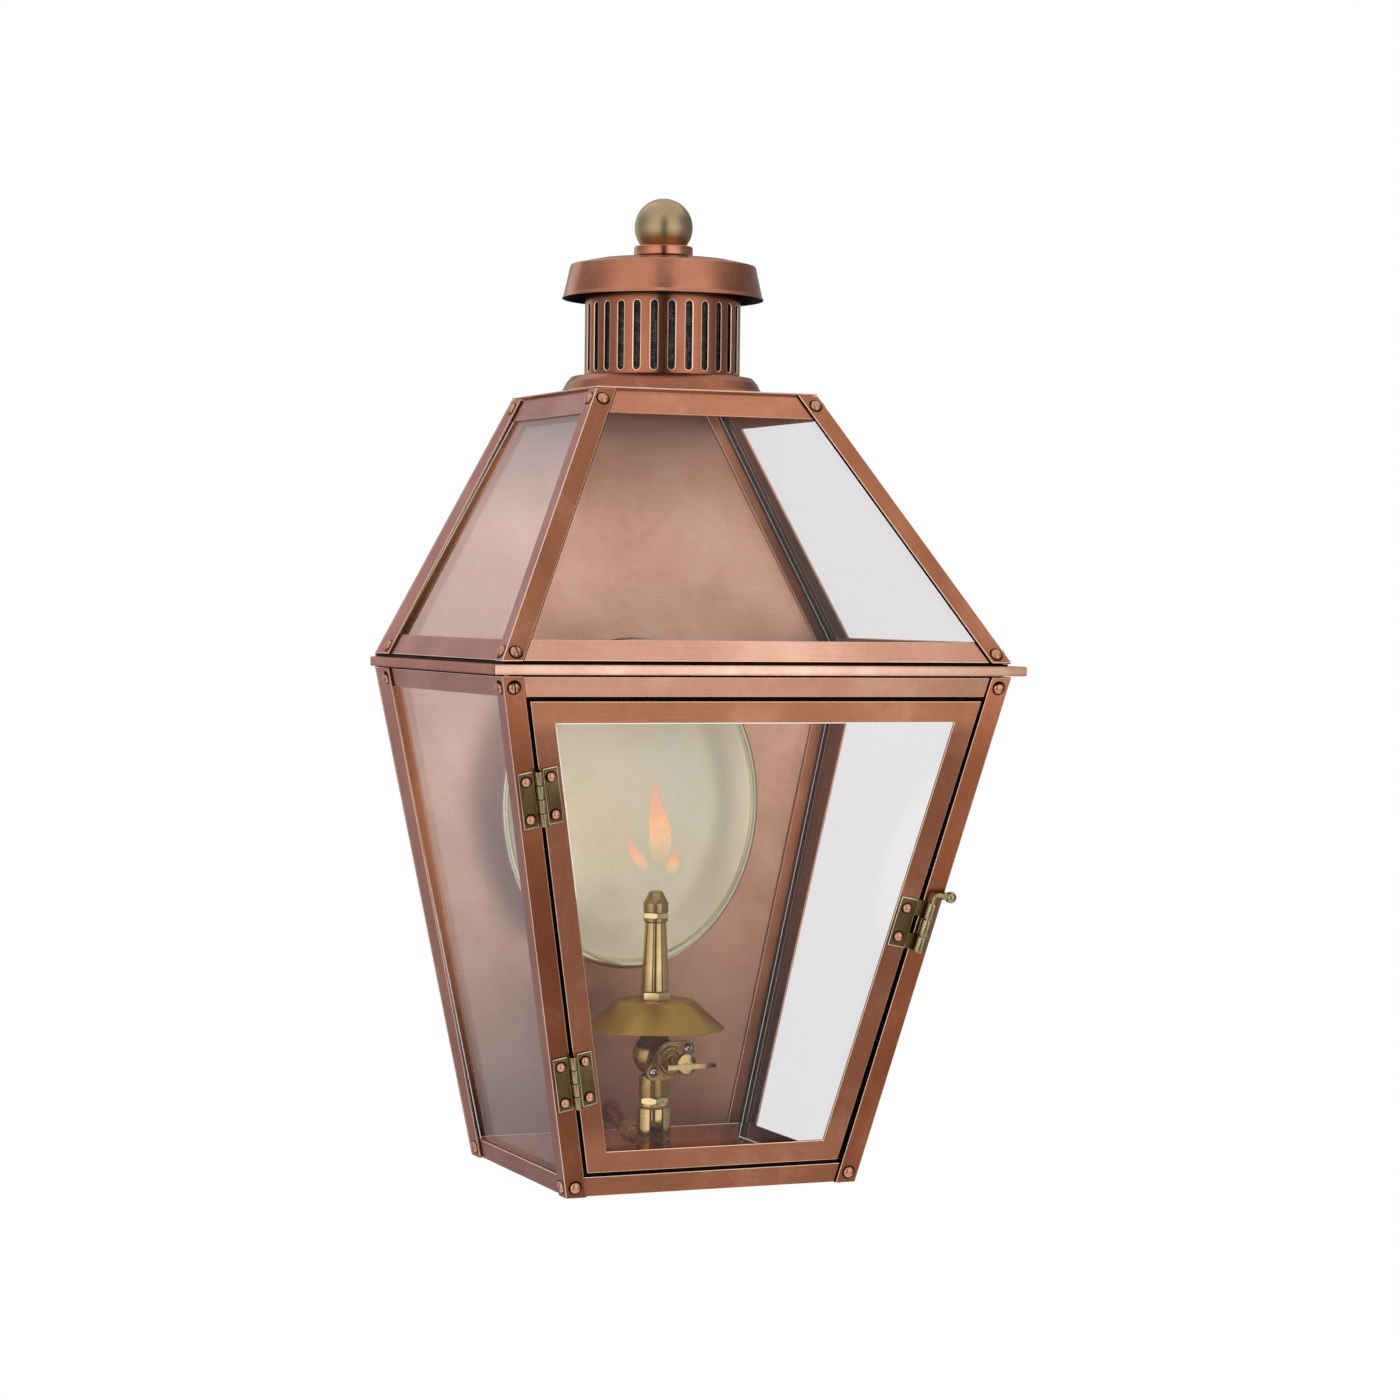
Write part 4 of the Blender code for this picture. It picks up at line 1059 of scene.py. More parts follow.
def add_piece(name: str, mesh: Mesh, materials: Sequence[Material], frame: Matrix | None = None,
              replaced: Sequence[str] = (), body: Body = Body.LANTERN, slot: Slot = Slot.COPPER,
              edge: Edge | None = None, smooth: float = 35.0) -> Object:
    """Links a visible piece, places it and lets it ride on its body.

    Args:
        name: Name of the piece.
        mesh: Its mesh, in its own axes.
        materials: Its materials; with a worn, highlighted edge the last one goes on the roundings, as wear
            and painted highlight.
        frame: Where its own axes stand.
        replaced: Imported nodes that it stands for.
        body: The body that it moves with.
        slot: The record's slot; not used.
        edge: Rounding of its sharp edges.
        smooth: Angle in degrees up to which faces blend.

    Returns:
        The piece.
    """
    made = linked(name, mesh)
    for material in materials:
        mesh.materials.append(material)
    mesh.shade_smooth()
    mesh.set_sharp_from_angle(angle=radians(smooth))
    if frame is not None:
        made.matrix_world = frame
    if edge:
        rounding = made.modifiers.new("rounding", "BEVEL")
        rounding.width = edge.width
        rounding.segments = edge.segments
        rounding.limit_method = "ANGLE"
        rounding.angle_limit = SHARP_ANGLE
        rounding.harden_normals = True
        rounding.use_clamp_overlap = True
        if edge.worn_highlight:
            rounding.material = len(materials) - 1
    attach(made, body.value)
    if replaced:
        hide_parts(*replaced)
    LOG.info("%s rides on %s", name, body.value)
    return made


def add_sheet(name: str, loops: Iterable[Sequence[Point]], thickness: float, metal: Metal, frame: Matrix,
              replaced: Sequence[str], slot: Slot = Slot.COPPER, width: float = 0.42 * MM) -> Object:
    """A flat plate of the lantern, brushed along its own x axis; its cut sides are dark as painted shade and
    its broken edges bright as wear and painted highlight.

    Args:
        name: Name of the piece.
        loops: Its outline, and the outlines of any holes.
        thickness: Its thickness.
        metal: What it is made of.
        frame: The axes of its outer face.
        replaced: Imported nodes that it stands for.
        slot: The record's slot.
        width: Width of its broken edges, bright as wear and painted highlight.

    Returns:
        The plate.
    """
    mesh = marked(sheet_of(name, loops, thickness), 1, cut_side)
    finishes = [metal.build(Grain.ALONG_X), DULL_SHADED_COPPER.build(Grain.ALONG_X), WORN_HIGHLIGHT_COPPER.build()]
    return add_piece(name, mesh, finishes, frame, replaced, slot=slot, edge=Edge(width))


# The frame's shape


class Face:
    """A leaning face of the frame: u runs level along it, v up its slope, and its own z axis points out."""

    def __init__(self, origin: Sequence[float], right: Sequence[float], rise: Sequence[float]) -> None:
        """Takes a point at the face's foot, the level direction and the direction up the slope.

        Args:
            origin: A point at its foot.
            right: The level direction.
            rise: The direction up the slope.
        """
        self.origin = Vector(origin)
        self.right = Vector(right)
        self.up = Vector(rise).normalized()
        self.out = self.right.cross(self.up)
        columns = Matrix((self.right, self.up, self.out)).transposed()
        self.matrix = Matrix.Translation(self.origin) @ columns.to_4x4()

    def flat(self, u: float, z: float) -> Point:
        """The point at u along the face and at the height z, on the face's own plane."""
        return (u, (z - self.origin.z) / self.up.z)

    def world(self, u: float, z: float, lift: float = 0.0) -> Vector:
        """The point at u along the face and at the height z, lifted off the face."""
        return self.matrix @ Vector((*self.flat(u, z), lift))

    def inset(self, depth: float) -> Matrix:
        """The axes of the plane that lies this deep inside the face."""
        return self.matrix @ Matrix.Translation((0, 0, -depth))

    def spot(self, u: float, z: float) -> Matrix:
        """The face's axes moved to a point on it."""
        return self.matrix @ Matrix.Translation((*self.flat(u, z), 0))


@dataclass
class Silhouette:
    """The frame's outside sizes, and the leaning faces that follow from them."""

    top_width: float = 0.146
    top_depth: float = 0.152
    bottom_width: float = 0.190
    roof_foot: float = 0.0050
    body_head: float = -0.0038
    roof_head: float = field(init=False)
    body_foot: float = field(init=False)
    girdle_half: float = field(init=False)
    girdle_depth: float = field(init=False)
    roof_run: float = field(init=False)
    body_run: float = field(init=False)
    faces: dict[str, Face] = field(default_factory=dict)

    def __post_init__(self) -> None:
        """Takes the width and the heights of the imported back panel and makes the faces."""
        low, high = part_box("back_panel")
        self.body_foot = low.z
        self.roof_head = high.z
        self.girdle_half = (high.x - low.x) / 2
        self.roof_run = self.girdle_half - self.top_width / 2
        self.body_run = self.girdle_half - self.bottom_width / 2
        self.girdle_depth = self.top_depth + self.roof_run
        bottom_depth = self.girdle_depth - self.body_run
        roof = (self.roof_run, self.roof_head - self.roof_foot)
        body = (-self.body_run, self.body_head - self.body_foot)
        edge = {"roof": self.girdle_half, "body": self.bottom_width / 2}
        front = {"roof": self.girdle_depth, "body": bottom_depth}
        foot = {"roof": self.roof_foot, "body": self.body_foot}
        for part, (run, rise) in (("roof", roof), ("body", body)):
            self.faces[part + "_front"] = Face((0, -front[part], foot[part]), (1, 0, 0), (0, run, rise))
            self.faces[part + "_left"] = Face((-edge[part], 0, foot[part]), (0, -1, 0), (run, 0, rise))
            self.faces[part + "_right"] = Face((edge[part], 0, foot[part]), (0, 1, 0), (-run, 0, rise))

    def half_width(self, z: float) -> float:
        """Half the outside width at a height."""
        if z > 0:
            return self.girdle_half - self.roof_run * (z - self.roof_foot) / (self.roof_head - self.roof_foot)
        return self.girdle_half - self.body_run * (self.body_head - z) / (self.body_head - self.body_foot)

    def depth(self, z: float) -> float:
        """How far the front stands out from the wall at a height."""
        return self.half_width(z) + self.girdle_depth - self.girdle_half

    def panel(self, face: Face, side: int, foot: float, head: float, back: float,
              margin: float) -> list[Point]:
        """A four-cornered outline on a face.

        Args:
            face: The face that it lies on.
            side: -1 for the left face, 1 for the right one, 0 for the front.
            foot: Height of its lower edge.
            head: Height of its upper edge.
            back: Where a side panel starts, measured from the wall.
            margin: Distance from the frame's outside corner.

        Returns:
            The corners on the face's own plane.
        """
        if side == 0:
            low = self.half_width(foot) - margin
            high = self.half_width(head) - margin
            corners = ((-low, foot), (low, foot), (high, head), (-high, head))
        else:
            low = self.depth(foot) - margin
            high = self.depth(head) - margin
            corners = ((-side * back, foot), (-side * low, foot), (-side * high, head), (-side * back, head))
        return [face.flat(u, z) for u, z in corners]


FLUE = Matrix.Translation((0, AXIS_Y, 0))
SIDES = (("left", -1), ("right", 1))
FACE_SIDES = (("front", 0), ("left", -1), ("right", 1))


class Head(Enum):
    """The kinds of fixing heads."""

    RIVET = "rivet"
    SLOTTED = "slotted"
    CROSS = "cross"


@dataclass
class Fixing:
    """A domed rivet or screw head with a dark ring at its foot: painted shade, partly patina."""

    radius: float = 3.6 * MM
    height: float = 2.2 * MM
    ring: float = 0.75 * MM

    def mesh(self, kind: Head = Head.RIVET) -> Mesh:
        """The head's mesh on the xy plane, with the dome to +z; material 1 is the dark ring at its foot and
        the slot, painted shade and partly patina.

        Args:
            kind: Which head it is.

        Returns:
            The head.
        """
        rounding = [(self.radius * sin(a), self.height * (1 - (1 - cos(a)) ** 1.15))
                    for a in [pi / 2 * i / 9 for i in range(10)]]
        dome = lathe("dome", rounding + [(self.radius, -0.3 * MM), (0.0, -0.3 * MM)], 32, False)
        if kind is not Head.RIVET:
            slot = box_of("slot", (-0.42 * MM, -0.006, self.height * 0.35), (0.42 * MM, 0.006, 0.006))
            turns = (0.22,) if kind is Head.SLOTTED else (0.6, 0.6 + pi / 2)
            length = 1.0 if kind is Head.SLOTTED else 0.32
            scaled = Matrix.Diagonal((1, length, 1, 1))
            dome = carved(dome, [(slot, Matrix.Rotation(turn, 4, "Z") @ scaled) for turn in turns])
            # The slot's floor and walls take the near-black finish: painted shade.
            marked(dome, 1, lambda polygon: polygon.normal.z > 0.999 and polygon.center.z < self.height * 0.36
                   or abs(polygon.normal.z) < 0.01 and polygon.center.z > self.height * 0.34)
        outside = self.radius + self.ring
        ring = lathe("ring", [(self.radius - 0.5 * MM, 0.12 * MM), (outside, 0.05 * MM),
                              (outside, -0.05 * MM),
                              (self.radius - 0.5 * MM, -0.05 * MM)], 32)
        return combined("fixing", [(dome, Matrix()), (marked(ring, 1), Matrix())])


def add_fixings(name: str, spots: Sequence[tuple[Matrix, Head]], body: Body, size: Fixing,
                metal: Metal = RIVET_COPPER, slot: Slot = Slot.COPPER) -> Object:
    """One piece of several fixing heads.

    Args:
        name: Name of the piece.
        spots: The axes of each head and its kind.
        body: The body that they move with.
        size: Sizes of a head.
        metal: What they are made of.
        slot: The record's slot.

    Returns:
        The piece.
    """
    kinds = {kind: size.mesh(kind) for kind in {kind for _, kind in spots}}
    mesh = combined(name, [(kinds[kind], spot) for spot, kind in spots])
    return add_piece(name, mesh, [metal.build(), SHADE_AND_PATINA.build()], body=body, slot=slot)


# Sub-assemblies


@dataclass
class CornerAngles:
    """The eight corner angles and the heads that hold them to the rails."""

    shape: Silhouette
    sheet: float = 1.3 * MM
    flange: float = FLANGE
    back_leg: float = 15.0 * MM
    back_end: float = 17.0 * MM
    back_girdle: float = 27.0 * MM
    rear: float = 1.8 * MM
    rivet_inset: float = 6.45 * MM
    shadow_depth: float = 1.42 * MM
    shadow_under: float = 0.90 * MM
    shadow_past: float = 0.65 * MM
    shadow_sheet: float = 0.25 * MM
    roof_painted_light: float = 1.25
    body_painted_light: float = 1.42
    steps: int = 12

    def columns(self, side: int, back: bool, z: float, reach: float) -> list[Vector]:
        """Three points of an angle's section at a height, with the corner in the middle.

        Args:
            side: -1 or 1.
            back: Whether the angle stands at the wall.
            z: The height.
            reach: The angle's greatest distance from the girdle.

        Returns:
            The points, in the order that faces out.
        """
        half = self.shape.half_width(z)
        if back:
            wide = self.back_girdle + (self.back_end - self.back_girdle) * abs(z) / reach
            points = [(side * (half - self.back_leg), -self.rear, z), (side * half, -self.rear, z),
                      (side * half, -wide, z)]
        else:
            out = self.shape.depth(z)
            points = [(side * half, -out + self.flange, z), (side * half, -out, z),
                      (side * (half - self.flange), -out, z)]
        return [Vector(p) for p in (points if side < 0 else points[::-1])]

    def angle(self, part: str, side_name: str, side: int, back: bool) -> None:
        """Builds one corner angle.

        Args:
            part: "roof" or "body".
            side_name: "left" or "right".
            side: -1 or 1.
            back: Whether it stands at the wall.
        """
        foot, head = self.ends(part)
        reach = max(abs(foot), abs(head))
        low = self.columns(side, back, foot, reach)
        high = self.columns(side, back, head, reach)
        along = (high[1] - low[1]).normalized()
        across = (low[2] - low[1]).cross(along).normalized()
        columns = Matrix((along, across.cross(along), across)).transposed().to_4x4()
        frame = Matrix.Translation(low[1]) @ columns
        bm = bmesh.new()
        inverse = frame.inverted()
        rows = []
        for step in range(self.steps + 1):
            rows.append([bm.verts.new(inverse @ a.lerp(b, step / self.steps)) for a, b in zip(low, high)])
        for lower, upper in zip(rows, rows[1:]):
            for i in range(2):
                bm.faces.new((lower[i], lower[i + 1], upper[i + 1], upper[i]))
        name = f"{part}_post_{'back' if back else 'front'}_{side_name}"
        mesh = plain_mesh(bm, name)
        facing = int((side < 0) != back)
        for number, polygon in enumerate(mesh.polygons):
            polygon.material_index = int(number % 2 == facing)
        front = DULL_SHADED_COPPER if back else RAKE_COPPER if part == "roof" else POST_COPPER
        # The right-hand front angles take lighter copies of their finish: painted light on faces that turn
        # towards the brighter side of the studio.
        shade = 1.0 if back or side < 0 else self.roof_painted_light if part == "roof" else self.body_painted_light
        outer = [(SALMON_LIT_COPPER if back else ROSE_LIT_COPPER).build(Grain.ALONG_X), front.build(Grain.ALONG_X, shade)]
        inner = [INNER_COPPER.build(Grain.ALONG_X)] * 2
        piece = add_piece(name + "_angle", mesh, [*outer, *inner, WORN_HIGHLIGHT_COPPER.build()], frame, [name],
                          edge=Edge(0.40 * MM, 3))
        sheet = piece.modifiers.new("sheet", "SOLIDIFY")
        sheet.thickness = self.sheet
        sheet.offset = -1
        sheet.use_even_offset = True
        sheet.material_offset = 2
        sheet.material_offset_rim = 2
        piece.modifiers.move(1, 0)

    def flange_shadow(self, part: str, side_name: str, side: int, face_side: int) -> None:
        """A strip of painted shadow where an angle's flange lies on the rails and the glass.

        Args:
            part: "roof" or "body".
            side_name: "left" or "right", the angle's side.
            side: -1 or 1, the angle's side.
            face_side: 0 for the seam on the front, otherwise the side.
        """
        foot, head = self.ends(part)
        face = self.shape.faces[f"{part}_{side_name if face_side else 'front'}"]
        corners = []
        for z, under in ((foot, True), (foot, False), (head, False), (head, True)):
            reach = self.shape.depth(z) if face_side else self.shape.half_width(z)
            run = reach - self.flange + (self.shadow_under if under else -self.shadow_past)
            corners.append(face.flat((-side if face_side else side) * run, z))
        mesh = sheet_of("flange_shadow", [corners], self.shadow_sheet)
        name = f"{part}_seam_{side_name}_{'side' if face_side else 'front'}"
        add_piece(name, mesh, [SHADE_AND_PATINA.build()], face.inset(self.shadow_depth))

    def ends(self, part: str) -> tuple[float, float]:
        """Foot and head of the angles of the roof or the body."""
        if part == "roof":
            return self.shape.roof_foot, self.shape.roof_head
        return self.shape.body_foot, self.shape.body_head

    def heads(self, part: str) -> list[tuple[Matrix, Head]]:
        """Places and kinds of the fixing heads of the roof's or the body's angles.

        Args:
            part: "roof" or "body".

        Returns:
            The axes and kind of each head.
        """
        foot, head = self.ends(part)
        reach = max(abs(foot), abs(head))
        front = self.shape.faces[part + "_front"]
        heights = (foot + (4.9 if part == "roof" else 6.7) * MM, head - 6.5 * MM)
        spots = []
        for side_name, side in SIDES:
            lateral = self.shape.faces[f"{part}_{side_name}"]
            for z in heights:
                near_girdle = abs(z) < 0.03
                kind = Head.SLOTTED if near_girdle and side < 0 else Head.RIVET
                spots.append((front.spot(side * (self.shape.half_width(z) - self.rivet_inset), z), kind))
                spots.append((lateral.spot(-side * (self.shape.depth(z) - self.rivet_inset), z), Head.RIVET))
                wide = self.back_girdle + (self.back_end - self.back_girdle) * abs(z) / reach
                spots.append((lateral.spot(-side * (wide - self.rivet_inset), z), Head.RIVET))
        return spots

    def build(self) -> None:
        """Builds the angles and their heads."""
        for part in ("roof", "body"):
            for side_name, side in SIDES:
                for back in (False, True):
                    self.angle(part, side_name, side, back)
                for face_side in (0, side):
                    self.flange_shadow(part, side_name, side, face_side)
            add_fixings(f"{part}_rivets", self.heads(part), Body.LANTERN, Fixing())


@dataclass
class Rails:
    """The flat rails inside the angles."""

    shape: Silhouette
    sheet: float = 1.2 * MM
    inset: float = 1.8 * MM
    back: float = 3.4 * MM
    margin: float = 4.0 * MM
    foot_height: float = 12.2 * MM
    roof_top: float = 13.7 * MM
    roof_bottom: tuple[float, float] = (0.9 * MM, 13.1 * MM)
    body_top: tuple[float, float] = (12.4 * MM, 0.6 * MM)
    slit_shade_sheet: float = 0.2 * MM
    SLITS = {"roof_bottom_rail": (4.3 * MM, 8.2 * MM), "body_top_rail": (-6.6 * MM, -3.1 * MM)}

    def build(self) -> None:
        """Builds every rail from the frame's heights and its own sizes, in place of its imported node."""
        shape = self.shape
        low, high = (shape.roof_foot + rise for rise in self.roof_bottom)
        foot, head = (shape.body_head - drop for drop in self.body_top)
        spans = {
            "roof_top_rail": ("roof", shape.roof_head - self.roof_top, shape.roof_head),
            "roof_bottom_rail": ("roof", low, high),
            "body_top_rail": ("body", foot, head),
            "body_bottom_rail": ("body", shape.body_foot, shape.body_foot + self.foot_height),
        }
        for rail, (part, foot, head) in spans.items():
            for side_name, side in FACE_SIDES:
                face = self.shape.faces[f"{part}_{side_name}"]
                loop = self.shape.panel(face, side, foot, head, self.back, self.margin)
                name = f"{rail}_{side_name}"
                metal = self.metal(rail) if side == 0 else ROSE_LIT_COPPER
                add_sheet(name + "_strip", [loop], self.sheet, metal, face.inset(self.inset), [name])
                self.slit_shade(rail, part, side_name, side)
        foot = self.shape.body_foot
        head = foot + self.foot_height
        low = self.shape.half_width(foot) - self.margin
        high = self.shape.half_width(head) - self.margin
        add_sheet("body_bottom_rail_back_strip", [[(-low, foot), (low, foot), (high, head), (-high, head)]],
                  self.sheet, COPPER, Matrix.Translation((0, -self.back, 0)) @ UPRIGHT,
                  ["body_bottom_rail_back"])

    @staticmethod
    def metal(rail: str) -> Metal:
        """The finish of a front rail."""
        return {"roof_top_rail": COPPER, "roof_bottom_rail": RAIL,
                "body_bottom_rail": FOOT_RAIL}.get(rail, HEAD_RAIL)

    def slit_shade(self, rail: str, part: str, side_name: str, side: int) -> None:
        """A near-black strip, painted shade, that closes the slit between a rail and the collar.

        Args:
            rail: The rail beside the slit.
            part: "roof" or "body".
            side_name: The face's name.
            side: The face's side, 0 for the front.
        """
        if rail not in self.SLITS:
            return
        face = self.shape.faces[f"{part}_{side_name}"]
        loop = self.shape.panel(face, side, *self.SLITS[rail], self.back, self.margin + 1 * MM)
        mesh = sheet_of("slit_shade", [loop], self.slit_shade_sheet)
        add_piece(f"{part}_filler_{side_name}", mesh, [SHADE_AND_PATINA.build()],
                  face.inset(self.inset + self.sheet + 0.05 * MM))


UPRIGHT = Matrix(((1, 0, 0, 0), (0, 0, -1, 0), (0, 1, 0, 0), (0, 0, 0, 1)))


@dataclass
class Collar:
    """The moulded bar round the girdle."""

    shape: Silhouette
    half: float = 2.9 * MM
    lip: float = 6.9 * MM
    ledge: float = 4.1 * MM
    rear: float = 1.8 * MM
    step: float = 1.6 * MM
    reach: float = 13.0 * MM
    mitre_gap: float = 0.2 * MM
    slant: float = 1.6
    shaded_faces: int = 5

    def section(self) -> list[Point]:
        """The bar's section: distance out from the frame, and height."""
        rounding = 1.0 * MM
        lip = self.lip - rounding
        lower = circle(rounding, (lip, -self.half + rounding), 6, -pi / 2, 0)
        upper = circle(rounding, (lip, self.half - rounding), 6, 0, pi / 2)
        return lower + upper + [(-self.step, self.half), (-self.step, self.ledge), (-self.reach, self.ledge),
                                (-self.reach, -self.half), (-self.step, -self.half)]

    def bar(self, name: str, ends: Callable[[float, float], tuple[Vector, Vector]], along: Vector) -> None:
        """Builds one bar.

        Args:
            name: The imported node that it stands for.
            ends: Gives both mitred ends of a point of the section.
            along: Direction of the bar, for its grain.
        """
        frame = Matrix.Translation(ends(0, 0)[0]) @ along.to_track_quat("X", "Z").to_matrix().to_4x4()
        inverse = frame.inverted()
        bm = bmesh.new()
        first = []
        last = []
        for p, z in self.section():
            start, end = ends(p, z)
            first.append(bm.verts.new(inverse @ start))
            last.append(bm.verts.new(inverse @ end))
        bm.faces.new(first)
        bm.faces.new(last[::-1])
        for i in range(len(first)):
            after = (i + 1) % len(first)
            bm.faces.new((first[i], last[i], last[after], first[after]))
        mesh = mesh_of(bm, name)
        # The faces of the step, the ledge, the back and the bar's underside take the near-black finish:
        # painted shade in the slits above and below the bar.
        shown = len(mesh.polygons) - self.shaded_faces
        marked(mesh, 1, lambda polygon: polygon.index >= shown)
        metal = COLLAR_COPPER if name == "collar_front" else SALMON_LIT_COPPER
        add_piece(name + "_bar", mesh, [metal.build(Grain.ALONG_X), SHADE_AND_PATINA.build()], frame, [name],
                  edge=Edge(0.12 * MM, 1, False))

    def build(self) -> None:
        """Builds the front bar and the two side bars."""
        half = self.shape.girdle_half
        front = self.shape.girdle_depth
        gap = self.mitre_gap
        self.bar("collar_front", lambda p, z: (
            Vector((-half - p + gap, -front - p, z)), Vector((half + p - gap, -front - p, z))),
                 Vector((1, 0, 0)))
        for side_name, side in SIDES:
            self.bar("collar_" + side_name, lambda p, z, side=side: (
                Vector((side * (half + p), -self.rear - max(p, 0.0) * self.slant, z)),
                Vector((side * (half + p), -front - p + gap, z))), Vector((0, -1, 0)))


@dataclass
class Plates:
    """The back panel, the floor plate and the top plate."""

    shape: Silhouette
    sheet: float = 1.5 * MM
    pipe_hole: float = 5.7 * MM
    flue_hole: float = 45.9 * MM

    def build(self) -> None:
        """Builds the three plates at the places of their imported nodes."""
        shape = self.shape
        heights = (shape.body_foot, shape.body_head, shape.roof_foot, shape.roof_head)
        sides = [(shape.half_width(z), z) for z in heights]
        outline = sides + [(-x, z) for x, z in reversed(sides)]
        pipe = shape.body_foot + 23.8 * MM
        add_sheet("back_panel_sheet", [outline, circle(self.pipe_hole, (0, pipe))], self.sheet,
                  SHEET_COPPER, Matrix.Translation((0, -self.sheet, 0)) @ UPRIGHT, ["back_panel"],
                  slot=Slot.PANEL, width=0.3 * MM)
        outside, inside = self.pipe_hole + 1.6 * MM, self.pipe_hole - 0.97 * MM
        front, rear = 0.9 * MM, 0.05 * MM
        ring = [(outside, front), (outside, rear), (inside, rear), (inside, front)]
        # The grommet round the pipe hole is dark, dull copper: painted shade.
        grommet = lathe("grommet", eased(ring, 0.35 * MM), 48)
        add_piece("pipe_grommet", grommet, [DULL_SHADED_COPPER.build(Grain.TURNED)],
                  Matrix.Translation((0, -self.sheet, pipe)) @ UPRIGHT)
        low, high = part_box("floor_plate")
        add_sheet("floor_sheet", [rectangle(low, high)], high.z - low.z, FLOOR_COPPER,
                  Matrix.Translation((0, 0, high.z)), ["floor_plate"])
        low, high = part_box("top_plate")
        flue = circle(self.flue_hole, (0, (low.y + high.y) / 2), 64)
        add_sheet("top_sheet", [rectangle(low, high), flue], high.z - low.z, FLOOR_COPPER,
                  Matrix.Translation((0, 0, high.z)), ["top_plate"])


@dataclass
class Panes:
    """The sheets of glass of the frame."""

    shape: Silhouette
    thickness: float = 3.0 * MM
    inset: float = 3.3 * MM
    back: float = 6.2 * MM
    margin: float = 8.0 * MM

    def build(self) -> None:
        """Builds the five fixed panes."""
        shape = self.shape
        spans = {"roof": (shape.roof_foot + 0.0035, shape.roof_head - 0.0008),
                 "body": (shape.body_foot + 0.0020, shape.body_head - 0.0030)}
        for part, (foot, head) in spans.items():
            for side_name, side in FACE_SIDES:
                if (part, side) == ("body", 0):
                    continue
                face = shape.faces[f"{part}_{side_name}"]
                loop = shape.panel(face, side, foot, head, self.back, self.margin)
                add_pane(f"{part}_glass_{side_name}", loop, self.thickness, face.inset(self.inset),
                         Body.LANTERN)


def add_pane(node: str, loop: Sequence[Point], thickness: float, frame: Matrix, body: Body) -> None:
    """A sheet of glass with a ground edge.

    Args:
        node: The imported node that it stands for.
        loop: Its outline.
        thickness: Its thickness.
        frame: Where its outer face lies.
        body: The body that it moves with.
    """
    mesh = marked(sheet_of(node, [loop], thickness), 1, cut_side)
    add_piece(node + "_sheet", mesh, [GLASS.pane(), GLASS.ground(), GLASS.arris()], frame, [node],
              body=body, slot=Slot.PANE, edge=Edge(0.45 * MM, 2))


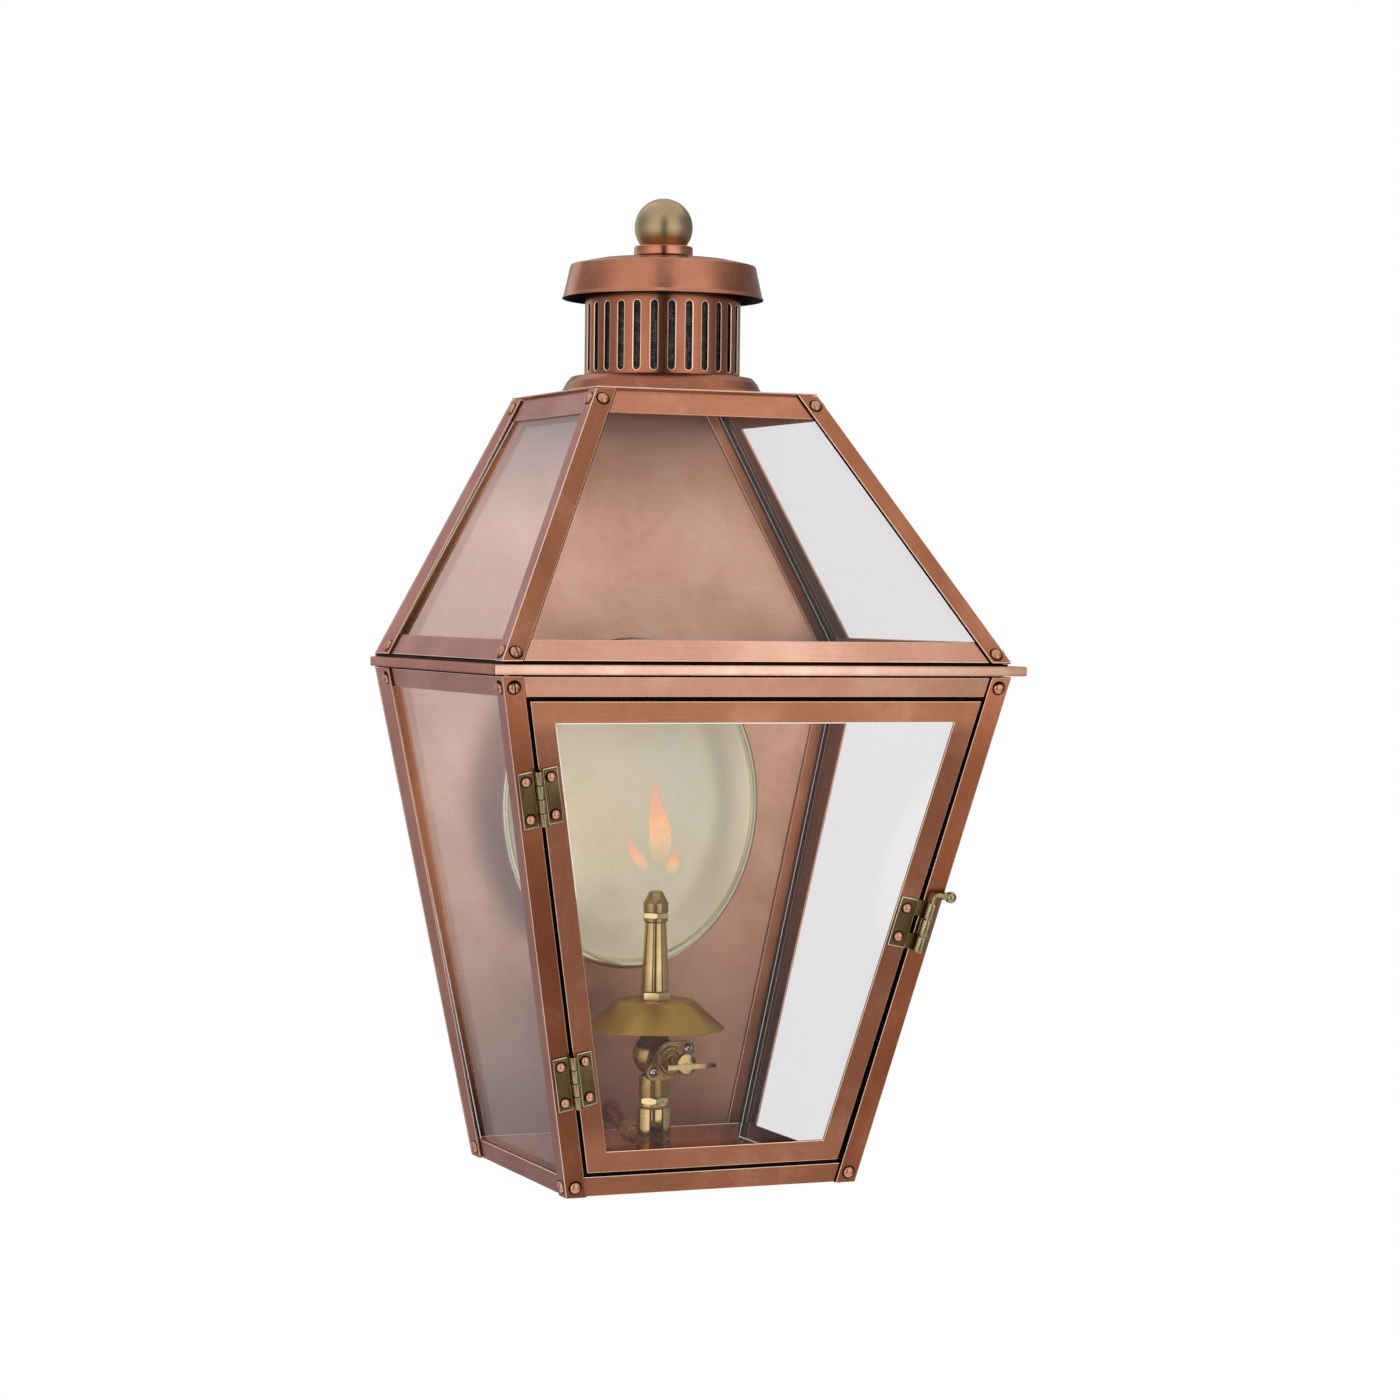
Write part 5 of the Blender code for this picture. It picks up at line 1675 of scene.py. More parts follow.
@dataclass
class Vent:
    """The round vent on the roof: flare, slotted tube, gauze, cap and finial."""

    tube_radius: float = 48.9 * MM
    shell: float = 1.1 * MM
    slots: int = 28
    slot_foot: float = 0.1825
    slot_head: float = 0.2250
    slot_width: float = 4.4 * MM
    slot_turn: float = 0.042
    rim_width: float = 0.55 * MM
    stud: float = 2.8 * MM

    def turned(self, node: str, profile: Sequence[Point], materials: Sequence[Material],
               rounding: float = 0.35 * MM, slot: Slot = Slot.COPPER, closed: bool = True) -> Object:
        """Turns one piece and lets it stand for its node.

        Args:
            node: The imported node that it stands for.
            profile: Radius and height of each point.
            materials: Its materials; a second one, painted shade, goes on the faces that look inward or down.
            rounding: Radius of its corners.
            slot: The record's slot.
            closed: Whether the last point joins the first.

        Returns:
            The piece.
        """
        mesh = lathe(node, eased(profile, rounding, 3, closed), 128, closed)
        if len(materials) > 1:
            marked(mesh, 1, lambda polygon: polygon.normal.dot(polygon.center * Vector((1, 1, 0))) < -0.0001
                   or polygon.normal.z < -0.7)
        return add_piece(node + "_turned", mesh, materials, FLUE, [node], slot=slot, smooth=30)

    def tube(self) -> None:
        """The tube with its ring of slots: each slot's walls dark as painted shade and its rim bright as wear
        and painted highlight.
        """
        low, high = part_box("chimney_tube")
        sector = pi / self.slots
        bm = bmesh.new()

        def spot(turn: float, x: float, z: float, depth: float = 0.0) -> BMVert:
            """A point at x along the wall from the sector's middle.

            Args:
                turn: Angle of the sector's middle.
                x: Distance round the wall.
                z: Height.
                depth: Depth below the outer face.

            Returns:
                The new point.
            """
            radius = self.tube_radius - depth
            angle = turn + x / self.tube_radius
            return bm.verts.new((radius * cos(angle), radius * sin(angle), z))

        def band(rows: Sequence[Sequence[BMVert]], index: int) -> None:
            """Faces between neighbouring rows of points."""
            for row, after in zip(rows, rows[1:]):
                for i in range(len(row) - 1):
                    bm.faces.new((row[i], row[i + 1], after[i + 1], after[i])).material_index = index

        edge = sector * self.tube_radius
        for number in range(self.slots):
            turn = 2 * sector * number - self.slot_turn
            for side in (-1, 1):
                lines = []
                for grow, depth in ((0.0, self.shell), (0.0, 0.25 * MM), (self.rim_width * 0.5, 0.0),
                                    (self.rim_width, 0.0)):
                    half = self.slot_width / 2 + grow
                    lower = circle(half, (0, self.slot_foot + self.slot_width / 2), 6, -pi / 2, 0)
                    upper = circle(half, (0, self.slot_head - self.slot_width / 2), 6, 0, pi / 2)
                    lines.append([spot(turn, side * x, z, depth) for x, z in lower + upper])
                heights = [point.co.z for point in lines[-1]]
                middle = [spot(turn, side * (edge + half) / 2, z) for z in heights]
                outer = [spot(turn, side * edge, z) for z in heights]
                band(lines[:2], 1)
                band(lines[1:], 2)
                band([lines[-1], middle, outer], 0)
                for start, end in ((low.z, heights[0]), (heights[-1], high.z)):
                    rows = [[spot(turn, side * edge * i / 3, z) for i in range(4)] for z in (start, end)]
                    band(rows, 0)
        bmesh.ops.remove_doubles(bm, verts=bm.verts, dist=MERGED)
        for face in bm.faces:
            face.normal_update()
            middle = face.calc_center_median()
            if face.normal.x * middle.x + face.normal.y * middle.y < 0:
                face.normal_flip()
        mesh = plain_mesh(bm, "chimney_tube")
        materials = [TUBE_COPPER.build(Grain.TURNED), DULL_SHADED_COPPER.build(), WORN_HIGHLIGHT_COPPER.build()]
        add_piece("chimney_tube_slotted", mesh, materials, FLUE, ["chimney_tube"], smooth=40)

    def build(self) -> None:
        """Builds the whole vent."""
        shadow = SHADE_AND_PATINA.build()
        copper = [TURNED_COPPER.build(Grain.TURNED), shadow]
        flare_low, flare_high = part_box("chimney_flare")
        top, foot, radius = flare_high.z, flare_low.z, flare_high.x
        self.turned("chimney_flare", [
            (self.tube_radius + 0.3 * MM, top), (0.0570, top), (0.0600, top - 0.0035),
                                      (0.0626, top - 0.0085),
            (radius, foot), (radius - self.shell, foot), (0.0614, top - 0.0090), (0.0588, top - 0.0045),
            (0.0566, top - self.shell), (self.tube_radius + 0.3 * MM, top - self.shell),
        ], [TUBE_COPPER.build(Grain.TURNED), shadow], 1.2 * MM)
        self.tube()
        low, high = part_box("vent_mesh")
        self.turned("vent_mesh", [(high.x, high.z), (high.x, low.z), (high.x - 0.6 * MM, low.z),
                                  (high.x - 0.6 * MM, high.z)], [Weave(radius=high.x).build()], 0.1 * MM,
                    Slot.GAUZE)
        low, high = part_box("vent_cap")
        top, rim, wide = high.z, low.z, high.x
        shoulder = top - 5.5 * MM
        self.turned("vent_cap", [
            (self.stud, top), (0.0150, top), (0.0440, top - 2.4 * MM), (0.0583, shoulder),
            (wide - 1.0 * MM, rim + 2.4 * MM), (wide, rim + 0.3 * MM), (wide - 0.3 * MM, rim),
            (wide - self.shell, rim + 0.4 * MM), (0.0570, shoulder - 1.4 * MM),
            (0.0436, top - 3.5 * MM), (0.0150, top - self.shell), (self.stud, top - self.shell),
        ], copper, 1.3 * MM)
        low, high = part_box("finial_washer")
        self.turned("finial_washer", [(self.stud, high.z), (high.x, high.z), (high.x, low.z),
                                      (self.stud, low.z)],
                    copper, 1.2 * MM)
        self.ball()
        low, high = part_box("chimney_crossbar")
        add_sheet("chimney_crossbar_strip", [rectangle(low, high), circle(self.stud, (0, AXIS_Y))],
                  high.z - low.z, FLOOR_COPPER, Matrix.Translation((0, 0, high.z)), ["chimney_crossbar"])

    def ball(self) -> None:
        """The finial ball on its stud."""
        low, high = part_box("finial_ball")
        radius = high.x
        centre = high.z - radius
        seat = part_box("finial_washer")[1].z + 0.3 * MM
        end = acos((seat - centre) / radius)
        profile = [(radius * sin(end * i / 40), centre + radius * cos(end * i / 40)) for i in range(41)]
        profile += [(2.5 * MM, seat), (2.5 * MM, low.z), (0.0, low.z)]
        mesh = lathe("ball", profile, 96, False)
        add_piece("finial_ball_turned", mesh, [BALL_BRASS.build(Grain.TURNED)], FLUE, ["finial_ball"],
                  slot=Slot.ANTIQUE)


@dataclass
class Door:
    """The glazed door at the front."""

    shape: Silhouette
    stile: float = 13.8 * MM
    rail: float = 12.8 * MM
    head: float = -0.0183
    foot: float = -0.3020
    sheet: float = 1.6 * MM
    flange: float = FLANGE
    hinge_gap: float = 2.4 * MM
    latch_gap_head: float = 2.4 * MM
    latch_gap_foot: float = 4.0 * MM

    def edge_at(self, side: int, z: float) -> float:
        """Where the door's outer edge is at a height.

        Args:
            side: -1 for the hinges, 1 for the latch.
            z: The height.

        Returns:
            The distance from the middle.
        """
        if side < 0:
            return -(self.shape.half_width(z) - self.flange - self.hinge_gap)
        share = (self.head - z) / (self.head - self.foot)
        gap = self.latch_gap_head + (self.latch_gap_foot - self.latch_gap_head) * share
        return self.shape.half_width(z) - self.flange - gap

    def loop(self, inset: float, rail: float) -> list[Point]:
        """The door's outline moved in by an inset at its stiles and by a rail's height at its ends.

        Args:
            inset: How far the stiles' edges move in.
            rail: How far the ends move in.

        Returns:
            The four corners.
        """
        face = self.shape.faces["body_front"]
        foot = self.foot + rail
        head = self.head - rail
        corners = ((-1, foot), (1, foot), (1, head), (-1, head))
        return [face.flat(self.edge_at(side, z) - side * inset, z) for side, z in corners]

    def build(self) -> None:
        """Builds the door's frame and its pane."""
        face = self.shape.faces["body_front"]
        window = self.loop(self.stile, self.rail)
        # The door plate's cut sides take the near-black finish: painted shade in the gap round the door.
        mesh = marked(self.split(sheet_of("door", [self.loop(0, 0), window], self.sheet)), 2, cut_side)
        # The rails and the stiles take a lighter and a darker copy of the copper: painted light and shade for
        # how the brushed metal catches the light along and across its grain.
        finishes = [DOOR_RAIL.build(Grain.ALONG_X), STILE_COPPER.build(Grain.ALONG_Y),
                    SHADE_AND_PATINA.build(), WORN_HIGHLIGHT_COPPER.build()]
        add_piece("door_frame_sheet", mesh, finishes, face.matrix, ["door_frame"], body=Body.DOOR,
                  edge=Edge(0.40 * MM, 2))
        add_pane("door_glass", self.loop(6.0 * MM, 5.5 * MM), 3 * MM, face.inset(self.sheet + 0.3 * MM),
                 Body.DOOR)
        # A thin pale strip along the top of the window and down part of its hinge side glows: a painted
        # highlight.
        outer = self.loop(self.stile + 0.05 * MM, self.rail + 0.05 * MM)
        inner = self.loop(self.stile + 0.7 * MM, self.rail + 0.7 * MM)
        ends = [tuple(Vector(loop[3]).lerp(Vector(loop[0]), 0.4)) for loop in (outer, inner)]
        bead = sheet_of("bead", [[outer[2], outer[3], ends[0], ends[1], inner[3], inner[2]]], 0.2 * MM)
        add_piece("door_glass_bead", bead, [GLASS.bead()], face.inset(self.sheet + 0.05 * MM),
                  body=Body.DOOR, slot=Slot.PANE)
        self.stop(face)

    def split(self, mesh: Mesh) -> Mesh:
        """Parts the plate where the stiles meet the rails, and marks the stiles with material 1.

        Args:
            mesh: The door's plate.

        Returns:
            The same plate.
        """
        face = self.shape.faces["body_front"]
        heights = [face.flat(0, z)[1] for z in (self.foot + self.rail, self.head - self.rail)]
        bm = bmesh_of(mesh)
        for height in heights:
            bmesh.ops.bisect_plane(bm, geom=[*bm.verts, *bm.edges, *bm.faces], dist=MERGED / 10,
                                   plane_co=(0, height, 0), plane_no=(0, 1, 0))
        bm.to_mesh(mesh)
        bm.free()
        return marked(mesh, 1, lambda polygon: heights[0] < polygon.center.y < heights[1])

    def stop(self, face: Face) -> None:
        """The strip behind the door's edge that it closes against, near-black as painted shade in the gap.

        Args:
            face: The body's front face.
        """
        outer = self.loop(-5.4 * MM, -4.6 * MM)
        inner = self.loop(4.6 * MM, 4.4 * MM)
        strip = sheet_of("stop", [outer, inner], 0.7 * MM)
        add_piece("door_stop", strip, [SHADE_AND_PATINA.build()], face.inset(3.05 * MM))


def edge_axes(shape: Silhouette, side: int, inset: float, z: float, lift: float) -> Matrix:
    """Axes on the front face whose y runs up along the post's inner edge and whose z points out.

    Args:
        shape: The frame's sizes.
        side: -1 at the left post, 1 at the right one.
        inset: Distance of the line from the frame's outside corner.
        z: Height of the origin.
        lift: How far the origin stands off the face.

    Returns:
        The matrix of the axes.
    """
    face = shape.faces["body_front"]
    low = face.world(side * (shape.half_width(shape.body_foot) - inset), shape.body_foot)
    high = face.world(side * (shape.half_width(shape.body_head) - inset), shape.body_head)
    along = (high - low).normalized()
    across = along.cross(face.out)
    place = face.world(side * (shape.half_width(z) - inset), z, lift)
    return Matrix.Translation(place) @ Matrix((across, along, face.out)).transposed().to_4x4()


def knuckle(radius: float, bore: float, low: float, high: float) -> tuple[Mesh, Matrix]:
    """A hinge knuckle along the y axis, with softened ends."""
    if bore:
        profile = eased([(radius, high), (radius, low), (bore, low), (bore, high)], 0.3 * MM)
        mesh = lathe("knuckle", profile, 32)
    else:
        profile = eased([(0.0, high), (radius, high), (radius, low), (0.0, low)], 0.3 * MM, 3, False)
        mesh = lathe("knuckle", profile, 32, False)
    return mesh, Matrix.Rotation(-pi / 2, 4, "X")


@dataclass
class Hinges:
    """The two butt hinges of the door."""

    shape: Silhouette
    middles: tuple[float, float] = (-0.0740, -0.2445)
    inset: float = 14.1 * MM
    lift: float = 2.8 * MM
    length: float = 34 * MM
    leaf: float = 9.2 * MM
    sheet: float = 1.1 * MM
    radius: float = 2.4 * MM
    pin: float = 1.1 * MM
    bore: float = 1.22 * MM
    rivet_end: float = 5.5 * MM

    def leaf_piece(self, node: str, frame: Matrix, side: int, rows: tuple[int, int], body: Body) -> None:
        """One leaf with its knuckles, and its two rivets.

        Args:
            node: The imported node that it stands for.
            frame: The hinge's axes, y along its pin.
            side: -1 for the post's leaf, 1 for the door's.
            rows: Rows of its knuckles from the top.
            body: The body that it moves with.
        """
        plate = AIR - self.lift
        inner = self.radius + 0.6 * MM
        half = self.length / 2
        xs = sorted((side * inner, side * (inner + self.leaf)))
        leaf = broken(box_of("leaf", (xs[0], -half, plate), (xs[1], half, plate + self.sheet)), 0.40 * MM, 2)
        strap_xs = sorted((side * 0.2 * MM, side * (inner + 1 * MM)))
        pieces = [(leaf, Matrix())]
        for row in rows:
            low = half - (row + 1) * self.length / 4 + 0.25 * MM
            high = half - row * self.length / 4 - 0.25 * MM
            strap = box_of("strap", (strap_xs[0], low, plate),
                           (strap_xs[1], high, plate + self.sheet - 0.1 * MM))
            barrel, turn = knuckle(self.radius, self.bore if side > 0 else 0, low, high)
            pieces += [(strap, Matrix()), (marked(barrel, 1), turn)]
        if side < 0:
            # The pin, seen in the gaps between the knuckles, takes the near-black finish: painted shade.
            core, turn = knuckle(self.pin, 0, -half - 0.4 * MM, half + 0.4 * MM)
            pieces.append((marked(core, 3), turn))
        mesh = combined(node, pieces)
        finishes = [ANTIQUE.build(Grain.ALONG_Y), KNUCKLE_BRASS.build(Grain.ALONG_Y), WORN_HIGHLIGHT_BRASS.build(),
                    SHADE_AND_PATINA.build()]
        add_piece(node + "_folded", mesh, finishes, frame, [node], body=body, slot=Slot.ANTIQUE, smooth=40)
        spots = [(frame @ Matrix.Translation((side * (inner + self.leaf / 2), end * (half - self.rivet_end),
                                              plate + self.sheet)), Head.RIVET) for end in (-1, 1)]
        add_fixings(node + "_rivets", spots, body, Fixing(3.0 * MM, 2.5 * MM, 0.55 * MM), PINK_COPPER)

    def build(self) -> None:
        """Builds both hinges."""
        for label, middle in zip(("upper", "lower"), self.middles):
            frame = edge_axes(self.shape, -1, self.inset, middle, self.lift)
            self.leaf_piece(f"hinge_{label}_frame_leaf", frame, -1, (0, 2), Body.LANTERN)
            self.leaf_piece(f"hinge_{label}_door_leaf", frame, 1, (1, 3), Body.DOOR)


@dataclass
class Latch:
    """The sliding pin that holds the door shut."""

    shape: Silhouette
    middle: float = -0.1560
    over_post: float = 4.4 * MM
    lift: float = 4.6 * MM
    radius: float = 3.4 * MM
    row: float = 9.8 * MM
    row_gap: float = 0.9 * MM
    plate: float = 11.8 * MM
    sheet: float = 1.1 * MM
    pin: float = 1.5 * MM
    bore: float = 1.6 * MM
    bend: float = 2.5 * MM
    setback: float = 3.6 * MM
    rivet_end: float = 6.5 * MM
    foot_half: float = 3.3 * MM
    foot_top: float = -1.8 * MM
    handle: float = 6.0 * MM
    beads: tuple[Point, ...] = ((6.5 * MM, 2.5 * MM), (10.6 * MM, 3.6 * MM))

    def build(self) -> None:
        """Builds the door's plate, the keeper on the post and the pin."""
        frame = edge_axes(self.shape, 1, FLANGE - self.over_post, self.middle, self.lift)
        half = 1.5 * self.row + self.row_gap
        plate = AIR - self.lift
        edge = -self.over_post - self.setback
        brass = [ANTIQUE.build(Grain.ALONG_Y), KNUCKLE_BRASS.build(Grain.ALONG_Y), WORN_HIGHLIGHT_BRASS.build()]
        blank = broken(box_of("plate", (edge - self.plate, -half, plate), (edge, half, plate + self.sheet)),
                       0.45 * MM, 2)
        pieces = [(blank, Matrix())]
        spots = []
        for row in (-1, 1):
            low = row * (self.row + self.row_gap) - self.row / 2
            strap = box_of("strap", (edge - 1 * MM, low, plate),
                           (0, low + self.row, plate + self.sheet - 0.1 * MM))
            barrel, turn = knuckle(self.radius, self.bore, low, low + self.row)
            pieces += [(strap, Matrix()), (self.ended(barrel), turn)]
            spot = Matrix.Translation((edge - self.plate * 0.55, row * (half - self.rivet_end),
                                       plate + self.sheet))
            spots.append((frame @ spot, Head.RIVET))
        add_piece("latch_plate_folded", combined("latch_plate", pieces), brass, frame, ["latch_plate"],
                  body=Body.DOOR, slot=Slot.ANTIQUE, smooth=40)
        add_fixings("latch_rivets", spots, Body.DOOR, Fixing(3.1 * MM, 2.5 * MM, 0.55 * MM), PINK_COPPER)
        low, high = -self.row / 2, self.row / 2
        block = box_of("foot", (-self.foot_half, low, plate), (self.foot_half, high, self.foot_top))
        foot = broken(block, 0.25 * MM, 2)
        barrel, turn = knuckle(self.radius, self.bore, low, high)
        keeper = combined("latch_keeper", [(foot, Matrix()), (self.ended(barrel), turn)])
        add_piece("latch_keeper_folded", keeper, brass, frame, ["latch_keeper"], slot=Slot.ANTIQUE,
                  smooth=40)
        self.pin_piece(frame, half)

    @staticmethod
    def ended(barrel: Mesh) -> Mesh:
        """A knuckle of pale brass, a painted highlight, with ends paler still as wear and painted highlight.
        """
        return marked(marked(barrel, 1), 2, lambda polygon: abs(polygon.normal.z) > 0.35)

    def pin_piece(self, frame: Matrix, half: float) -> None:
        """The bent pin with its bead and ball.

        Args:
            frame: The latch's axes, y along the pin.
            half: Half the length of the knuckles together.
        """
        top = half + 6 * MM
        points = [Vector((0, -half, 0)), Vector((0, top - self.bend, 0))]
        for step in range(1, 9):
            angle = pi / 2 * step / 8
            points.append(Vector((self.bend * (1 - cos(angle)), top - self.bend * (1 - sin(angle)), 0)))
        points.append(Vector((self.handle, top, 0)))
        rod = swept("pin", points, self.pin)
        beads = []
        for reach, radius in self.beads:
            profile = [(radius * sin(pi * i / 20), radius * cos(pi * i / 20)) for i in range(21)]
            beads.append((lathe("bead", profile, 40, False), Matrix.Translation((reach, top, 0))))
        mesh = carved(rod, beads, "UNION")
        add_piece("latch_pin_bent", mesh, [KNUCKLE_BRASS.build()], frame, ["latch_pin"], body=Body.PIN,
                  slot=Slot.ANTIQUE, smooth=28)


@dataclass
class Reflector:
    """The oval dish behind the flame, with a rolled rim and its standoff."""

    depth: float = 12 * MM
    bead: float = 2.4 * MM
    skin: float = 1.0 * MM
    flat: float = 0.62
    post: float = 9.0 * MM

    def build(self) -> None:
        """Builds the dish at its node's place."""
        low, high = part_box("reflector")
        wide = high.x
        tall = (high.z - low.z) / 2
        rim_y = low.y + self.bead
        floor = wide * self.flat
        wall = wide - 2 * self.bead
        inner = [(floor + (wall - floor) * i / 16, self.depth * (i / 16) ** 2) for i in range(17)]
        outer = [(radius + self.skin * 0.4 * i / 16, z - self.skin) for i, (radius, z) in enumerate(inner)]
        middle = (wide - self.bead, self.depth)
        bead = [(middle[0] + self.bead * cos(a), middle[1] + self.bead * sin(a))
                for a in [pi - 0.125 * pi * i for i in range(11)]]
        core = [(floor * i / 10, 0.0) for i in range(10)]
        profile = core + inner[:-1] + bead + outer[::-1] + [(0.0, -self.skin)]
        mesh = lathe("dish", profile, 160, False)
        marked(mesh, 1, lambda polygon: polygon.center.xy.length > wall - 0.4 * MM)
        mesh.transform(Matrix.Diagonal((1, tall / wide, 1, 1)))
        near, far = -self.skin / 2, rim_y + self.depth + 1.8 * MM
        stand = lathe("stand", [(self.post, near), (self.post, far), (0.0, far), (0.0, near)], 48)
        mesh = combined("reflector", [(mesh, Matrix()), (stand, Matrix())])
        frame = Matrix.Translation((0, rim_y + self.depth,
                                    (low.z + high.z) / 2)) @ Matrix.Rotation(pi / 2, 4, "X")
        add_piece("reflector_dish", mesh, [DISH.build(), DISH_RIM.build()], frame, ["reflector"],
                  slot=Slot.PEWTER, smooth=50)


@dataclass
class Burner:
    """The gas burner: riser, valve with its key, heat shield and jet."""

    stem_turn: float = radians(9)
    cover_front: float = 20.5 * MM
    cover_sheet: float = 3.5 * MM
    screw_reach: float = 13.9 * MM
    screw_tilt: float = radians(29)
    stem_z: float = -0.2483
    valve_head: float = -0.2337
    valve_foot: float = 12.1 * MM
    key_reach: float = 40.5 * MM
    nut_bore: float = 6.2 * MM

    def turned(self, node: str, profile: Sequence[Point], metal: Metal = BURNER, rounding: float = 0.4 * MM,
               steps: int = 64, closed: bool = True) -> None:
        """Turns one brass piece and lets it stand for its node."""
        mesh = lathe(node, eased(profile, rounding, 3, closed), steps, closed)
        add_piece(node + "_turned", mesh, [metal.build(Grain.TURNED)], FLUE, [node], slot=Slot.BURNER,
                  smooth=30)

    def hexagon(self, radius: float, bore: float, low: float, high: float, turn: float = 0.0,
                chamfer: float = 0.8 * MM) -> Mesh:
        """A nut with turned chamfers.

        Args:
            radius: Distance from the axis to a corner.
            bore: Radius of its hole.
            low: Height of its lower face.
            high: Height of its upper face.
            turn: Rotation about the axis.
            chamfer: How much its corners are turned down.

        Returns:
            The nut's mesh.
        """
        corners = [(radius * cos(turn + i * pi / 3), radius * sin(turn + i * pi / 3)) for i in range(6)]
        blank = sheet_of("hexagon", [corners, circle(bore, (0, 0), 32)], high - low)
        blank.transform(Matrix.Translation((0, 0, high)))
        slope = chamfer * 0.55
        cone = lathe("chamfer", [(0.0, high), (radius - chamfer, high), (radius + 0.1 * MM, high - slope),
                                 (radius + 0.1 * MM, low + slope), (radius - chamfer, low), (0.0, low)], 64,
                     False)
        return carved(blank, [(cone, Matrix())], "INTERSECT")

    def nut(self, node: str, mesh: Mesh, frame: Matrix | None = None) -> None:
        """Adds a nut."""
        add_piece(node + "_faced", mesh, [HIGHLIGHT_BRASS.build()], frame or FLUE, [node], slot=Slot.BURNER,
                  edge=Edge(0.18 * MM, 2, False), smooth=28)

    def stack(self) -> None:
        """The pieces on the burner's axis."""
        low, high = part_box("riser_tube")
        self.turned("riser_tube", [(high.x, high.z), (high.x, low.z), (7.5 * MM, low.z), (7.5 * MM, high.z)])
        low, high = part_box("riser_nut")
        ring = lathe("ring", eased([(9.2 * MM, low.z + 2.4 * MM), (9.7 * MM, low.z + 1.5 * MM),
                                    (9.2 * MM, low.z),
                                    (6.8 * MM, low.z), (6.8 * MM, low.z + 2.4 * MM)], 0.3 * MM), 64)
        lobes = self.hexagon(high.x, self.nut_bore, low.z + 2.3 * MM, high.z, 0.3, 1.3 * MM)
        self.nut("riser_nut", combined("riser_nut", [(ring, Matrix()), (lobes, Matrix())]))
        low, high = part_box("shield_nut")
        self.nut("shield_nut", self.hexagon(high.x, self.nut_bore, low.z, high.z, 0.42, 0.9 * MM))
        low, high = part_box("burner_tube")
        self.turned("burner_tube", [(6.8 * MM, high.z), (8.9 * MM, low.z), (4.5 * MM, low.z),
                                    (4.5 * MM, high.z)],
                    rounding=0.8 * MM)
        low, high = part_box("burner_nozzle")
        foot, tip = low.z, high.z
        body = lathe("nozzle", eased([
            (2.6 * MM, tip), (4.1 * MM, tip), (8.0 * MM, tip - 7.6 * MM), (8.0 * MM, foot + 6.0 * MM),
            (7.0 * MM, foot + 5.8 * MM), (7.0 * MM, foot + 2.3 * MM), (7.8 * MM, foot + 2.2 * MM),
            (7.8 * MM, foot), (3.0 * MM, foot),
        ], 0.35 * MM), 64)
        flats = self.hexagon(high.x, 6.0 * MM, foot + 2.4 * MM, foot + 5.6 * MM, 0.25, 0.7 * MM)
        mesh = combined("nozzle", [(body, Matrix()), (flats, Matrix())], (0, 1))
        add_piece("burner_nozzle_turned", mesh, [NOZZLE.build(Grain.TURNED), HIGHLIGHT_BRASS.build()], FLUE,
                  ["burner_nozzle"], slot=Slot.BURNER, smooth=28)
        low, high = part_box("heat_shield")
        rim, top, wide = low.z, high.z, high.x
        mesh = lathe("shield", eased([
            (7.0 * MM, top), (24.8 * MM, top), (wide, rim + 0.4 * MM), (wide - 0.2 * MM, rim),
                                      (24.6 * MM, top - MM),
            (7.0 * MM, top - MM)], 0.3 * MM), 128)
        add_piece("heat_shield_spun", mesh, [SHIELD.build(Grain.TURNED)], FLUE, ["heat_shield"],
                  slot=Slot.BURNER, smooth=40)

    def valve(self) -> None:
        """The valve's body, its cover with two screws, and the key."""
        low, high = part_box("valve_body")
        ball = high.x
        middle = self.stem_z + 1.5 * MM
        head = self.valve_head
        profile = [(5.0 * MM, high.z), (8.0 * MM, high.z), (8.0 * MM, head), (8.8 * MM, head)]
        start = acos((head - 3.5 * MM - middle) / ball)
        end = pi - acos(self.valve_foot / ball)
        profile += [(ball * sin(a), middle + ball * cos(a)) for a in
                    [start + (end - start) * i / 16 for i in range(17)]]
        profile += [(9.4 * MM, middle - 13.0 * MM), (9.4 * MM, low.z), (5.0 * MM, low.z)]
        body = lathe("valve", profile, 64)
        stem = Matrix.Translation((0, 0, self.stem_z)) @ Matrix.Rotation(self.stem_turn, 4, "Z")
        stem = stem @ Matrix.Rotation(pi / 2, 4, "X")
        reach = self.cover_front - self.cover_sheet - AIR
        boss = lathe("boss", eased([(0.0, reach), (10.5 * MM, reach), (10.5 * MM, 5.5 * MM),
                                    (0.0, 5.5 * MM)],
                                   0.6 * MM, 3, False), 64, False)
        mesh = carved(body, [(boss, stem)], "UNION")
        add_piece("valve_body_cast", mesh, [CAST.build(), WORN_HIGHLIGHT_BRASS.build()], FLUE, ["valve_body"],
                  slot=Slot.BURNER, edge=Edge(0.5 * MM, 3), smooth=40)
        self.cover(FLUE @ stem)
        self.key(FLUE @ stem)

